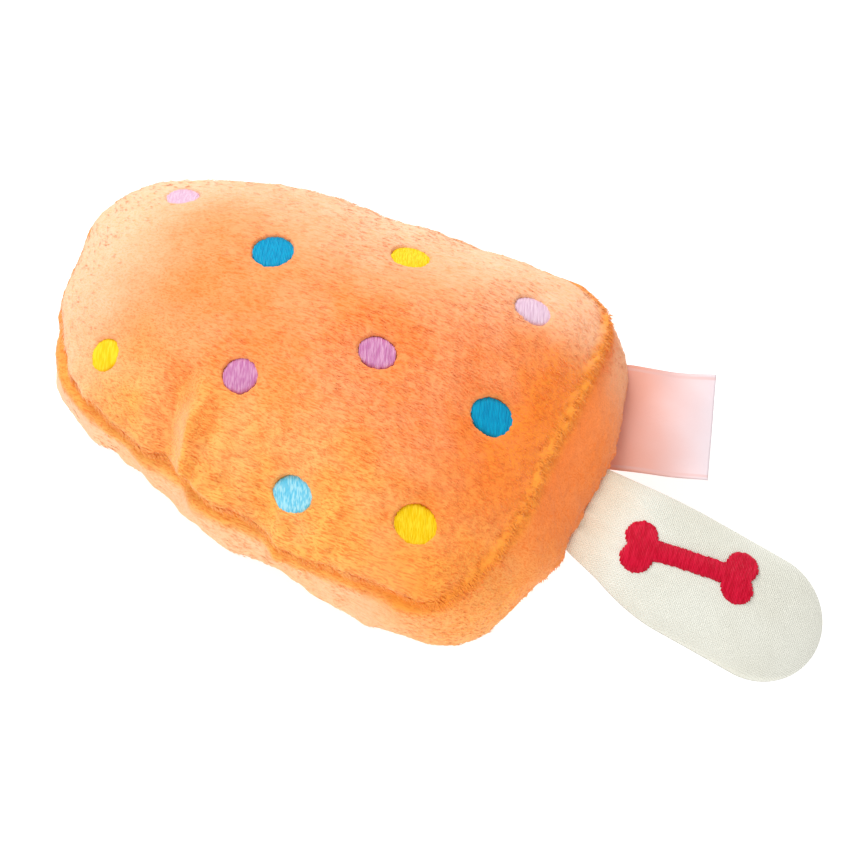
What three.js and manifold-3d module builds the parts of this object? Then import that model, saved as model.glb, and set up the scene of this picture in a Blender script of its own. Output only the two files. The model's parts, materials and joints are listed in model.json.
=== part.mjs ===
// A stuffed plush ice lolly for a dog to carry, shake and squeeze: a domed body of short pile with
// embroidered dots, a stuffed cloth stick sewn into the square end, a care label and a squeaker.
// Millimetres, Z up. The toy lies on its back panel with X along it, towards the stick.
// While it is shaped, X is 0 at the front seam of the square end and Z is 0 at the floor.
import * as THREE from "three";
import { mergeVertices } from "three/addons/utils/BufferGeometryUtils.js";
import Module from "manifold-3d";

const wasm = await Module();
wasm.setup();

const { lerp, smoothstep, clamp } = THREE.MathUtils;

// Fits shared by all pieces
const clearance = 0.3;
const threadDiameter = 0.9;
const cutOverrun = 2;

// Body, seam to seam
const bodyLength = 147.2;
const bodyWidth = 107.6;
const endCornerRadius = 18.2;
const domeWidth = 97.7;
const domeLength = 72.6;
const domeSkew = 14.2;
const frontSeamHeightAtStick = 39.8;
const frontSeamHeightAtDome = 26.4;
const frontCrown = 27.1;
const backSeamHeightAtStick = 23;
const backSeamHeightAtFlanks = 8.5;
const endBulge = 16.5;
const endBulgeReach = 10;
const flankBulge = 0.8;
const nearDomeBulge = 3.8;
const gussetSwell = 2.4;
const plushThickness = 2.4;
const backingThickness = 0.5;

// How square or round the forms are, as powers and shares
const nearDomePower = 3.18;
const farDomePower = 1.76;
const crownFullness = 0.8;
const endBulgeSpread = 0.8;
const gussetEase = 0.9;
const backTurnUp = 2.6;
const restShare = 0.6;
const backingShare = 0.88;

// Embroidered dots, placed along the body from the stick end and across it from the middle line
const dotDiameter = 11.6;
const dotThickness = 1.1;
const dotProud = 0.2;
const dotProbe = 1;
const dots = [
  { name: "dot_lilac_dome", colour: "lilac", alongShare: 0.867, acrossShare: 0.505 },
  { name: "dot_blue_dome", colour: "blue", alongShare: 0.627, acrossShare: 0.333 },
  { name: "dot_yellow_far", colour: "yellow", alongShare: 0.397, acrossShare: 0.664 },
  { name: "dot_lilac_far", colour: "lilac", alongShare: 0.139, acrossShare: 0.675 },
  { name: "dot_yellow_dome", colour: "yellow", alongShare: 0.839, acrossShare: -0.482 },
  { name: "dot_lilac_near", colour: "lilac", alongShare: 0.562, acrossShare: -0.363 },
  { name: "dot_lilac_middle", colour: "lilac", alongShare: 0.35, acrossShare: 0.041 },
  { name: "dot_blue_stick", colour: "blue", alongShare: 0.114, acrossShare: 0.06 },
  { name: "dot_sky_near", colour: "sky", alongShare: 0.38, acrossShare: -0.768 },
  { name: "dot_yellow_stick", colour: "yellow", alongShare: 0.141, acrossShare: -0.634 },
];

// Stick, from the line where it folds at its root
const stickLength = 71.4;
const stickWidth = 36.4;
const stickRootWidth = 26;
const stickWidening = 30;
const stickThickness = 13;
const stickFlatRoot = 16;
const stickDrop = 14;
const stickSideways = -3.6;
const stickClothThickness = 1;
const stickThreadDiameter = 0.7;
const stickRootGap = 0.8;
const stickDropPower = 1.3;
const stickPillowPower = 2.6;
const stickPillowFullness = 0.6;
const stickRootThinShare = 0.4;
const tabLength = 7;
const tabThickness = 1.4;

// Bone motif in satin stitch on the stick
const boneLength = 38;
const boneBarWidth = 6;
const boneLobeDiameter = 9;
const boneLobeSpread = 6.6;
const boneThickness = 0.9;
const boneTurn = (12 * Math.PI) / 180;
const boneAlongShare = 0.42;
const boneAcrossShare = 0.11;

// Care label
const labelWidth = 32;
const labelLength = 24;
const labelThickness = 0.5;
const labelTurn = (21 * Math.PI) / 180;
const labelAcross = 24.5;
const labelAboveSeam = 1;
const labelDroop = 1.5;

// Squeaker
const bulbDiameter = 36;
const bulbWaistDiameter = 31;
const bulbHeight = 22;
const bulbShoulder = 4;
const bulbWall = 0.9;
const bulbHeightAboveFloor = 17;
const plugBarrelDiameter = 9.8;
const plugBoreDiameter = 7.4;
const plugBarrelLength = 8;
const plugFlangeDiameter = 16;
const plugFlangeThickness = 1.2;
const reedLength = 9;
const reedWidth = 5.4;
const reedThickness = 0.3;
const reedSeatDepth = 4;
const channelWall = 0.9;
const channelLength = 13;
const fillingSlitWidth = 24;
const fillingSlitHeight = 1;

// Closing stitch, a ladder of hand stitches over the back seam
const ladderStitchCount = 10;
const ladderPitch = 4.6;
const ladderReach = 1.6;
const ladderStartShare = 0.62;
const ladderLeanShare = 0.35;

// How finely the forms are divided
const bodyPointCount = 52;
const outlineStepCount = 40;
const frontRingShares = [0.25, 0.48, 0.68, 0.83, 0.94, 1];
const backRingShares = [restShare, 0.76, 0.86, 0.94, 1];
const gussetRowCount = 4;
const stickPointCount = 32;
const stickRingShares = [0.35, 0.65, 0.85, 0.96, 1];
const stickStationCount = 24;
const roundSideCount = 16;
const bulbSideCount = 20;
const threadSideCount = 5;
const labelRowCount = 4;

const materials = {
  plush: new THREE.MeshStandardMaterial({ color: 0xf9a05f, roughness: 0.95, metalness: 0 }),
  plushSide: new THREE.MeshStandardMaterial({ color: 0xfa8f4e, roughness: 0.95, metalness: 0 }),
  backing: new THREE.MeshStandardMaterial({ color: 0xf2efe8, roughness: 0.9, metalness: 0 }),
  orangeThread: new THREE.MeshStandardMaterial({ color: 0xe8843e, roughness: 0.7, metalness: 0 }),
  lilac: new THREE.MeshStandardMaterial({ color: 0xcf93d2, roughness: 0.45, metalness: 0 }),
  blue: new THREE.MeshStandardMaterial({ color: 0x129fce, roughness: 0.45, metalness: 0 }),
  sky: new THREE.MeshStandardMaterial({ color: 0x7fd4f2, roughness: 0.45, metalness: 0 }),
  yellow: new THREE.MeshStandardMaterial({ color: 0xf6cf1c, roughness: 0.45, metalness: 0 }),
  stickCloth: new THREE.MeshStandardMaterial({ color: 0xf1efdc, roughness: 0.85, metalness: 0 }),
  stickThread: new THREE.MeshStandardMaterial({ color: 0xe9e4cc, roughness: 0.7, metalness: 0 }),
  redThread: new THREE.MeshStandardMaterial({ color: 0xc8102e, roughness: 0.45, metalness: 0 }),
  label: new THREE.MeshStandardMaterial({ color: 0xf4d8d4, roughness: 0.5, metalness: 0 }),
  filling: new THREE.MeshStandardMaterial({ color: 0xfafafa, roughness: 1, metalness: 0 }),
  bulb: new THREE.MeshStandardMaterial({ color: 0xf4f6f2, roughness: 0.4, metalness: 0 }),
  plug: new THREE.MeshStandardMaterial({ color: 0xffffff, roughness: 0.3, metalness: 0 }),
};

// Surfaces made of rings

// One closed surface from rings of points, each ring joined to the next. The ends close on a pole
// point each, or, without poles, the last ring joins the first.
function closedSurface(rings, poles) {
  const count = rings[0].length;
  const points = rings.flat();
  const triangles = [];
  const bands = poles ? rings.length - 1 : rings.length;
  for (let band = 0; band < bands; band++) {
    const here = band * count;
    const there = ((band + 1) % rings.length) * count;
    for (let i = 0; i < count; i++) {
      const next = (i + 1) % count;
      triangles.push(here + i, here + next, there + next, here + i, there + next, there + i);
    }
  }
  if (poles) {
    const last = (rings.length - 1) * count;
    const firstPole = points.push(poles[0]) - 1;
    const lastPole = points.push(poles[1]) - 1;
    for (let i = 0; i < count; i++) {
      const next = (i + 1) % count;
      triangles.push(firstPole, next, i, lastPole, last + i, last + next);
    }
  }
  if (enclosedVolume(points, triangles) < 0) triangles.reverse();
  return new THREE.BufferGeometry().setFromPoints(points).setIndex(triangles);
}

function enclosedVolume(points, triangles) {
  const cross = new THREE.Vector3();
  let volume = 0;
  for (let i = 0; i < triangles.length; i += 3) {
    const [a, b, c] = [points[triangles[i]], points[triangles[i + 1]], points[triangles[i + 2]]];
    volume += cross.crossVectors(b, c).dot(a);
  }
  return volume;
}

// A thread that runs round a closed path of points.
function threadLoop(path, diameter) {
  return closedSurface(threadRings(path, diameter, true));
}

// A thread with two free ends.
function threadRun(path, diameter) {
  return closedSurface(threadRings(path, diameter, false), [path[0], path[path.length - 1]]);
}

function threadRings(path, diameter, closed) {
  const up = new THREE.Vector3(0, 0, 1);
  const last = path.length - 1;
  return path.map((point, i) => {
    const before = path[i > 0 ? i - 1 : closed ? last : 0];
    const after = path[i < last ? i + 1 : closed ? 0 : last];
    const ahead = after.clone().sub(before).normalize();
    const side = ahead.clone().cross(up).normalize();
    const over = side.clone().cross(ahead);
    return Array.from({ length: threadSideCount }, (_, s) => {
      const turn = (s / threadSideCount) * 2 * Math.PI;
      return point
        .clone()
        .addScaledVector(side, (Math.cos(turn) * diameter) / 2)
        .addScaledVector(over, (Math.sin(turn) * diameter) / 2);
    });
  });
}

// Cutting and joining

function toSolid(geometry) {
  const bare = geometry.clone();
  bare.deleteAttribute("normal");
  bare.deleteAttribute("uv");
  const merged = mergeVertices(bare);
  return new wasm.Manifold(
    new wasm.Mesh({
      numProp: 3,
      vertProperties: merged.attributes.position.array,
      triVerts: new Uint32Array(merged.index.array),
    }),
  );
}

function toGeometry(solid) {
  const mesh = solid.getMesh();
  const geometry = new THREE.BufferGeometry();
  geometry.setAttribute("position", new THREE.BufferAttribute(mesh.vertProperties, 3));
  geometry.setIndex(new THREE.BufferAttribute(mesh.triVerts, 1));
  return geometry;
}

function boxBetween(low, high) {
  const size = high.clone().sub(low);
  const middle = low.clone().add(high).divideScalar(2);
  return new THREE.BoxGeometry(size.x, size.y, size.z).translate(middle.x, middle.y, middle.z);
}

// Plan outlines

function evenlySpaced(points, count) {
  return new THREE.Path([...points, points[0]]).getSpacedPoints(count).slice(0, count);
}

function outwardNormals(outline) {
  const count = outline.length;
  return outline.map((_, i) => {
    const before = outline[(i + count - 1) % count];
    const after = outline[(i + 1) % count];
    return new THREE.Vector2(after.y - before.y, before.x - after.x).normalize();
  });
}

function drawnIn(outline, distance) {
  const normals = outwardNormals(outline);
  return outline.map((point, i) => point.clone().addScaledVector(normals[i], -distance));
}

// One side of the front seam in plan, from the middle of the stick end round to the dome's tip.
function seamSide(side, domePower) {
  const straight = bodyLength - domeLength;
  const corner = new THREE.Vector2(-endCornerRadius, bodyWidth / 2 - endCornerRadius);
  const points = [];
  for (let i = 0; i < outlineStepCount; i++) {
    const turn = ((i / outlineStepCount) * Math.PI) / 2;
    const x = corner.x + endCornerRadius * Math.cos(turn);
    points.push(new THREE.Vector2(x, corner.y + endCornerRadius * Math.sin(turn)));
  }
  for (let i = 0; i <= outlineStepCount; i++) {
    const turn = ((i / outlineStepCount) * Math.PI) / 2;
    const x = -straight - domeLength * Math.sin(turn) ** (2 / domePower);
    const y = (domeWidth / 2) * Math.max(0, Math.cos(turn)) ** (2 / domePower);
    points.push(new THREE.Vector2(x, y));
  }
  for (const point of points) {
    const leaned = clamp((-point.x - straight) / domeLength, 0, 1);
    point.y = side * point.y + domeSkew * leaned ** 2;
  }
  return points;
}

// The front seam in plan: square with round corners at the stick, a leaning dome at the far end.
function frontSeamPlan() {
  const far = seamSide(1, farDomePower);
  const near = seamSide(-1, nearDomePower).reverse().slice(1);
  return evenlySpaced([...far, ...near], bodyPointCount);
}

const frontSeam = frontSeamPlan();
const seamNormals = outwardNormals(frontSeam);
const bodyMiddle = new THREE.Vector2(-bodyLength / 2, 0);

// 1 at the middle of the stick end, falling to 0 along the sides.
const endShares = frontSeam.map((point) => {
  const across = Math.max(0, Math.cos((Math.PI * point.y) / bodyWidth));
  return across ** endBulgeSpread * Math.exp(-((point.x / endBulgeReach) ** 2));
});
// The near side of the dome sags outwards, most of all where it turns.
const domeShares = frontSeam.map((point) => {
  const intoDome = clamp((domeLength - bodyLength - point.x) / domeLength, 0, 1);
  return intoDome * clamp((domeSkew - point.y) / (domeWidth / 2), 0, 1);
});
const seamBulges = endShares.map(
  (share, i) => lerp(flankBulge, endBulge, share) + nearDomeBulge * domeShares[i],
);
const backSeam = frontSeam.map((point, i) =>
  point.clone().addScaledVector(seamNormals[i], seamBulges[i]),
);
// The back seam climbs the stick end and runs level across the root of the stick.
const backSeamHeights = frontSeam.map((point) => {
  const outside = bodyWidth / 2 - Math.abs(point.y);
  const climb = clamp(outside / ((bodyWidth - stickRootWidth) / 2 - clearance), 0, 1);
  const share = Math.sin((Math.PI / 2) * climb) * Math.exp(-((point.x / endBulgeReach) ** 2));
  return lerp(backSeamHeightAtFlanks, backSeamHeightAtStick, share);
});

function frontSeamHeight(x) {
  return lerp(frontSeamHeightAtStick, frontSeamHeightAtDome, clamp(-x / bodyLength, 0, 1));
}

// The point and the height of the back seam at a distance across the stick end.
function backSeamAt(across) {
  const i = backSeam.findIndex((point, k) => {
    const next = backSeam[(k + 1) % bodyPointCount];
    return point.x > 0 && point.y <= across && next.y > across;
  });
  const next = (i + 1) % bodyPointCount;
  const share = (across - backSeam[i].y) / (backSeam[next].y - backSeam[i].y);
  const edge = backSeam[next].clone().sub(backSeam[i]);
  return {
    point: backSeam[i].clone().addScaledVector(edge, share),
    height: lerp(backSeamHeights[i], backSeamHeights[next], share),
  };
}

// Body surfaces

function ringOver(outline, share, heightAt) {
  return outline.map((point, i) => {
    const plan = bodyMiddle.clone().lerp(point, share);
    return new THREE.Vector3(plan.x, plan.y, heightAt(plan, i));
  });
}

function crownHeight(crown, share) {
  return crown * (1 - share ** 2) ** crownFullness;
}

// Rings of the domed front, the middle one first, drawn in and lowered under the outer surface.
function frontRings(inwards, lowered, shares = frontRingShares, raised = 0) {
  const outline = drawnIn(frontSeam, inwards);
  return shares.map((share) =>
    ringOver(
      outline,
      share,
      (plan) => frontSeamHeight(plan.x) + crownHeight(frontCrown - lowered, share) + raised,
    ),
  );
}

function frontPole(lowered, raised = 0) {
  const height = frontSeamHeight(bodyMiddle.x) + frontCrown - lowered + raised;
  return new THREE.Vector3(bodyMiddle.x, bodyMiddle.y, height);
}

function backRise(share) {
  return (Math.max(0, share - restShare) / (1 - restShare)) ** backTurnUp;
}

// Rings of the back, the middle one first: flat where the toy rests, then turned up to the seam.
function backRings(inwards, floor, dropped = 0) {
  const outline = backSeam.map((point, i) =>
    point.clone().addScaledVector(seamNormals[i], -inwards),
  );
  return backRingShares.map((share) =>
    ringOver(outline, share, (_, i) =>
      lerp(floor, backSeamHeights[i] - dropped, backRise(share)),
    ),
  );
}

function backPole(floor) {
  return new THREE.Vector3(bodyMiddle.x, bodyMiddle.y, floor);
}

// A point of the gusset, from 0 at the front seam to 1 at the back seam.
function gussetPoint(i, share, inwards, gap = 0) {
  const bulge = seamBulges[i] * Math.sin((Math.PI / 2) * share) ** gussetEase;
  const swell = gussetSwell * Math.sin(Math.PI * share) * (1 - endShares[i]);
  const plan = frontSeam[i].clone().addScaledVector(seamNormals[i], bulge + swell - inwards);
  const top = frontSeamHeight(frontSeam[i].x) - gap;
  return new THREE.Vector3(plan.x, plan.y, lerp(top, backSeamHeights[i] + gap, share));
}

function gussetRing(share, inwards, gap = 0) {
  return frontSeam.map((_, i) => gussetPoint(i, share, inwards, gap));
}

// Everything under the front surface once it is raised by a height, for cutting to its shape.
function underFront(raised) {
  const rings = frontRings(0, 0, frontRingShares, raised);
  const floorRing = ringOver(frontSeam, 1, () => 0);
  return toSolid(closedSurface([...rings, floorRing], [frontPole(0, raised), backPole(0)]));
}

// The height of the front surface over a point in plan.
function frontHeightAt(plan) {
  const ray = plan.clone().sub(bodyMiddle);
  let reach = Infinity;
  frontSeam.forEach((point, i) => {
    const edge = frontSeam[(i + 1) % bodyPointCount].clone().sub(point);
    const start = point.clone().sub(bodyMiddle);
    const across = ray.cross(edge);
    const scale = start.cross(edge) / across;
    const along = start.cross(ray) / across;
    if (scale > 0 && along >= 0 && along <= 1) reach = Math.min(reach, scale);
  });
  const share = Math.min(1, 1 / reach);
  return frontSeamHeight(plan.x) + crownHeight(frontCrown, share);
}

function dotCylinder(dot, diameter) {
  const plan = new THREE.Vector2(-bodyLength * dot.alongShare, (bodyWidth / 2) * dot.acrossShare);
  const heightBeside = (dx, dy) => frontHeightAt(new THREE.Vector2(plan.x + dx, plan.y + dy));
  const normal = new THREE.Vector3(
    heightBeside(-dotProbe, 0) - heightBeside(dotProbe, 0),
    heightBeside(0, -dotProbe) - heightBeside(0, dotProbe),
    2 * dotProbe,
  ).normalize();
  const turn = new THREE.Quaternion().setFromUnitVectors(new THREE.Vector3(0, 1, 0), normal);
  const height = dotThickness + dotProud + 2 * plushThickness;
  return toSolid(
    new THREE.CylinderGeometry(diameter / 2, diameter / 2, height, roundSideCount)
      .applyQuaternion(turn)
      .translate(plan.x, plan.y, frontHeightAt(plan)),
  );
}

// The stick: places along it, across it and above its middle layer

const stickRoot = backSeamAt(0);
const hingeX = stickRoot.point.x + stickRootGap;
const hingeZ = stickRoot.height;

function stickSpread(along) {
  return Math.sin((Math.PI / 2) * clamp(along / stickWidening, 0, 1));
}

function stickHalfWidth(along) {
  return lerp(stickRootWidth, stickWidth, stickSpread(along)) / 2;
}

function stickPlan() {
  const tipRadius = stickWidth / 2;
  const straight = stickLength - tipRadius;
  const far = [];
  for (let i = 0; i <= stickStationCount; i++) {
    const along = (straight * i) / stickStationCount;
    far.push(new THREE.Vector2(along, stickHalfWidth(along)));
  }
  for (let i = 1; i <= stickStationCount; i++) {
    const turn = ((i / stickStationCount) * Math.PI) / 2;
    far.push(new THREE.Vector2(straight + tipRadius * Math.sin(turn), tipRadius * Math.cos(turn)));
  }
  const near = far.slice(0, -1).map((point) => new THREE.Vector2(point.x, -point.y));
  return evenlySpaced([...near, ...far.reverse()], stickPointCount);
}

const stickOutline = stickPlan();
const stickMiddle = new THREE.Vector2(stickLength / 2, 0);

// Bends the straight stick as it lies: thin at the root, drooping and set a little to one side.
function stickPlace(along, across, above, gap = 0) {
  const reach = clamp(along / stickLength, 0, 1);
  const thin = lerp(stickRootThinShare, 1, smoothstep(along, 0, stickFlatRoot));
  return new THREE.Vector3(
    hingeX + along,
    across + stickSideways * stickSpread(along),
    hingeZ - stickDrop * reach ** stickDropPower + above * thin + gap,
  );
}

function stickRings(inwards, halfThickness, side, gap) {
  const outline = drawnIn(stickOutline, inwards);
  return stickRingShares.map((share) => {
    const rise = halfThickness * (1 - share ** stickPillowPower) ** stickPillowFullness;
    return outline.map((point) => {
      const plan = stickMiddle.clone().lerp(point, share);
      return stickPlace(plan.x, plan.y, side * rise, side * gap);
    });
  });
}

function stickPole(halfThickness, side, gap) {
  return stickPlace(stickMiddle.x, stickMiddle.y, side * halfThickness, side * gap);
}

// The pieces, one function each

const toy = new THREE.Group();

function piece(name, geometry, material) {
  const mesh = new THREE.Mesh(geometry, material);
  mesh.name = name;
  geometry.computeVertexNormals();
  toy.add(mesh);
}

function frontPanel() {
  const gap = clearance / 2;
  const outer = frontRings(0, 0, frontRingShares, gap);
  const inner = frontRings(plushThickness, plushThickness, frontRingShares, gap).reverse();
  const poles = [frontPole(0, gap), frontPole(plushThickness, gap)];
  const pocketFloor = underFront(dotProud - dotThickness - clearance);
  let panel = toSolid(closedSurface([...outer, ...inner], poles));
  for (const dot of dots) {
    panel = panel.subtract(dotCylinder(dot, dotDiameter + 2 * clearance).subtract(pocketFloor));
  }
  piece("front_panel", toGeometry(panel), materials.plush);
}

function embroideredDots() {
  const top = underFront(dotProud);
  const bottom = underFront(dotProud - dotThickness);
  for (const dot of dots) {
    const patch = dotCylinder(dot, dotDiameter).intersect(top).subtract(bottom);
    piece(dot.name, toGeometry(patch), materials[dot.colour]);
  }
}

function embroideryBacking() {
  const shares = frontRingShares.map((share) => share * backingShare);
  const outerDepth = plushThickness + clearance;
  const innerDepth = outerDepth + backingThickness;
  const outer = frontRings(plushThickness, outerDepth, shares);
  const inner = frontRings(plushThickness, innerDepth, shares).reverse();
  const poles = [frontPole(outerDepth), frontPole(innerDepth)];
  piece("embroidery_backing", closedSurface([...outer, ...inner], poles), materials.backing);
}

function gussetStrip() {
  const gap = clearance / 2;
  const shares = Array.from({ length: gussetRowCount + 1 }, (_, row) => row / gussetRowCount);
  const outer = shares.map((share) => gussetRing(share, 0, gap));
  const inner = shares.map((share) => gussetRing(share, plushThickness, gap)).reverse();
  const strip = toSolid(closedSurface([...outer, ...inner])).subtract(tabSlot());
  piece("gusset_strip", toGeometry(strip), materials.plushSide);
}

function backPanel() {
  const gap = clearance / 2;
  const outer = backRings(0, 0, gap);
  const inner = backRings(plushThickness, plushThickness, gap).reverse();
  const poles = [backPole(0), backPole(plushThickness)];
  const panel = toSolid(closedSurface([...outer, ...inner], poles)).subtract(tabSlot());
  piece("back_panel", toGeometry(panel), materials.plush);
}

// The threads lie in the corners between the gusset and the panels, inside the skin.
const threadDepth = plushThickness + clearance + threadDiameter / 2;

function seamThreads() {
  const front = drawnIn(frontSeam, threadDepth).map(
    ({ x, y }) => new THREE.Vector3(x, y, frontSeamHeight(x)),
  );
  const aboveTab = tabThickness / 2 + 2 * clearance + threadDiameter / 2;
  const back = frontSeam.map((point, i) => {
    const height = frontSeamHeight(point.x) - backSeamHeights[i];
    return gussetPoint(i, 1 - aboveTab / height, threadDepth);
  });
  piece("front_seam_thread", threadLoop(front, threadDiameter), materials.orangeThread);
  piece("back_seam_thread", threadLoop(back, threadDiameter), materials.orangeThread);
}

// Stitches that cross the back seam up and down, just outside it.
function closingStitch() {
  const outwards = clearance + threadDiameter / 2 + ladderReach * ladderLeanShare;
  const seam = new THREE.Path([...backSeam, backSeam[0]]);
  const length = seam.getLength();
  const path = Array.from({ length: ladderStitchCount }, (_, i) => {
    const share = ladderStartShare + (i * ladderPitch) / length;
    const plan = seam.getPointAt(share);
    const ahead = seam.getTangentAt(share);
    plan.add(new THREE.Vector2(ahead.y, -ahead.x).multiplyScalar(outwards));
    const up = i % 2 ? ladderReach : -ladderReach;
    return new THREE.Vector3(plan.x, plan.y, backSeamHeightAtFlanks + up);
  });
  piece("closing_stitch", threadRun(path, threadDiameter), materials.orangeThread);
}

function squeakerPocket() {
  const low = bulbHeightAboveFloor - plugFlangeThickness - 2 * clearance;
  const high = bulbHeightAboveFloor + bulbHeight + clearance;
  const radius = bulbDiameter / 2 + clearance;
  const pocket = new THREE.CylinderGeometry(radius, radius, high - low, bulbSideCount)
    .rotateX(Math.PI / 2)
    .translate(bodyMiddle.x, bodyMiddle.y, (low + high) / 2);
  return toSolid(pocket);
}

// The parted fibre through which the squeaker was pushed in from the stick end.
function fillingSlit() {
  const middle = bulbHeightAboveFloor + bulbHeight / 2;
  return toSolid(
    boxBetween(
      new THREE.Vector3(bodyMiddle.x, -fillingSlitWidth / 2, middle - fillingSlitHeight / 2),
      new THREE.Vector3(
        endBulge + cutOverrun,
        fillingSlitWidth / 2,
        middle + fillingSlitHeight / 2,
      ),
    ),
  );
}

function bodyFilling() {
  const inwards = threadDepth + threadDiameter / 2 + 2 * clearance;
  const lowered = plushThickness + backingThickness + 2 * clearance;
  const floor = plushThickness + clearance;
  const top = frontRings(inwards, lowered);
  const rows = Array.from({ length: gussetRowCount - 1 }, (_, row) => (row + 1) / gussetRowCount);
  const sides = rows.map((share) => gussetRing(share, inwards));
  const bottom = backRings(inwards, floor).reverse();
  const core = closedSurface([...top, ...sides, ...bottom], [frontPole(lowered), backPole(floor)]);
  const filling = toSolid(core)
    .subtract(squeakerPocket())
    .subtract(fillingSlit())
    .subtract(tabSlot());
  piece("body_filling", toGeometry(filling), materials.filling);
}

function tabBox(margin) {
  return boxBetween(
    new THREE.Vector3(
      stickRoot.point.x - tabLength - margin,
      -stickRootWidth / 2 - margin,
      hingeZ - tabThickness / 2 - margin,
    ),
    new THREE.Vector3(
      stickRoot.point.x + margin,
      stickRootWidth / 2 + margin,
      hingeZ + tabThickness / 2 + margin,
    ),
  );
}

function tabSlot() {
  return toSolid(tabBox(clearance));
}

function stickRootTab() {
  piece("stick_root_tab", tabBox(0), materials.stickCloth);
}

function stickCovers() {
  const gap = clearance / 2;
  const half = stickThickness / 2;
  const innerHalf = half - stickClothThickness;
  const sides = [
    { name: "stick_front_cover", side: 1 },
    { name: "stick_back_cover", side: -1 },
  ];
  for (const { name, side } of sides) {
    const outer = stickRings(0, half, side, gap);
    const inner = stickRings(stickClothThickness, innerHalf, side, gap).reverse();
    const poles = [stickPole(half, side, gap), stickPole(innerHalf, side, gap)];
    piece(name, closedSurface([...outer, ...inner], poles), materials.stickCloth);
  }
}

function stickFilling() {
  const inwards = stickClothThickness + 2 * clearance + stickThreadDiameter;
  const half = stickThickness / 2 - stickClothThickness - clearance;
  const top = stickRings(inwards, half, 1, 0);
  const bottom = stickRings(inwards, half, -1, 0).reverse().slice(1);
  const wad = closedSurface([...top, ...bottom], [stickPole(half, 1, 0), stickPole(half, -1, 0)]);
  piece("stick_filling", wad, materials.filling);
}

function stickSeamThread() {
  const inwards = stickClothThickness + clearance + stickThreadDiameter / 2;
  const path = drawnIn(stickOutline, inwards).map((point) => stickPlace(point.x, point.y, 0));
  piece("stick_seam_thread", threadLoop(path, stickThreadDiameter), materials.stickThread);
}

// The stick's outer form, thicker by a margin all over, for cutting to its crown.
function stickForm(margin) {
  const half = (stickThickness + clearance) / 2 + margin;
  const top = stickRings(0, half, 1, 0);
  const bottom = stickRings(0, half, -1, 0).reverse().slice(1);
  return toSolid(
    closedSurface([...top, ...bottom], [stickPole(half, 1, 0), stickPole(half, -1, 0)]),
  );
}

// A bone in satin stitch: a bar with two round lobes at each end, following the stick's crown.
function boneMotif() {
  const height = stickThickness + stickDrop;
  const lobeRadius = boneLobeDiameter / 2;
  const reach = boneLength / 2 - lobeRadius;
  const across = (stickWidth / 2) * boneAcrossShare;
  const centre = stickPlace(stickLength * boneAlongShare, across, height / 2);
  const placed = (shape) =>
    toSolid(shape.rotateZ(boneTurn).translate(centre.x, centre.y, centre.z));
  let bone = placed(new THREE.BoxGeometry(2 * reach, boneBarWidth, height));
  for (const end of [-1, 1]) {
    for (const side of [-1, 1]) {
      const lobe = new THREE.CylinderGeometry(lobeRadius, lobeRadius, height, roundSideCount)
        .rotateX(Math.PI / 2)
        .translate(end * reach, (side * boneLobeSpread) / 2, 0);
      bone = bone.add(placed(lobe));
    }
  }
  const layer = bone
    .intersect(stickForm(clearance + boneThickness))
    .subtract(stickForm(clearance));
  piece("stick_bone_embroidery", toGeometry(layer), materials.redThread);
}

// The label leaves the seam square to its own root line, which touches the seam's outline.
function careLabel() {
  const outward = new THREE.Vector2(Math.cos(labelTurn), Math.sin(labelTurn));
  const across = new THREE.Vector2(-outward.y, outward.x);
  const seamReach = Math.max(...backSeam.map((point) => point.dot(outward)));
  const touching = backSeam.findIndex((point) => point.dot(outward) === seamReach);
  const rings = Array.from({ length: labelRowCount + 1 }, (_, row) => {
    const share = row / labelRowCount;
    const height = backSeamHeights[touching] + labelAboveSeam - labelDroop * share ** 2;
    const reach = seamReach + clearance + labelThickness + labelLength * share;
    const corners = [
      [-labelWidth / 2, -labelThickness / 2],
      [labelWidth / 2, -labelThickness / 2],
      [labelWidth / 2, labelThickness / 2],
      [-labelWidth / 2, labelThickness / 2],
    ];
    return corners.map(([aside, above]) => {
      const plan = outward.clone().multiplyScalar(reach);
      plan.addScaledVector(across, labelAcross + aside);
      return new THREE.Vector3(plan.x, plan.y, height + above);
    });
  });
  const ends = [rings[0], rings[labelRowCount]].map((ring) =>
    ring.reduce((sum, point) => sum.add(point), new THREE.Vector3()).divideScalar(ring.length),
  );
  piece("care_label", closedSurface(rings, ends), materials.label);
}

function turned(profile, sides) {
  return new THREE.LatheGeometry(
    profile.map(([radius, height]) => new THREE.Vector2(radius, height)),
    sides,
  )
    .rotateX(Math.PI / 2)
    .translate(bodyMiddle.x, bodyMiddle.y, 0);
}

// A blown bulb with one fold round its waist and a neck hole under it for the plug.
function squeakerBulb() {
  const low = bulbHeightAboveFloor;
  const neck = plugBarrelDiameter / 2 + clearance;
  const wide = bulbDiameter / 2;
  const waist = bulbWaistDiameter / 2;
  const outer = [
    [neck, 0],
    [wide - bulbShoulder, 0],
    [wide, bulbShoulder],
    [waist, bulbHeight / 2],
    [wide, bulbHeight - bulbShoulder],
    [wide - bulbShoulder, bulbHeight],
    [0, bulbHeight],
  ];
  const inner = [
    [0, bulbHeight - bulbWall],
    [wide - bulbShoulder - bulbWall / 2, bulbHeight - bulbWall],
    [wide - bulbWall, bulbHeight - bulbShoulder - bulbWall / 2],
    [waist - bulbWall, bulbHeight / 2],
    [wide - bulbWall, bulbShoulder + bulbWall / 2],
    [wide - bulbShoulder - bulbWall / 2, bulbWall],
    [neck, bulbWall],
    [neck, 0],
  ];
  const profile = [...outer, ...inner].map(([radius, height]) => [radius, low + height]);
  piece("squeaker_bulb", turned(profile, bulbSideCount), materials.bulb);
}

function plugLow() {
  return bulbHeightAboveFloor - clearance - plugFlangeThickness;
}

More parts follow.
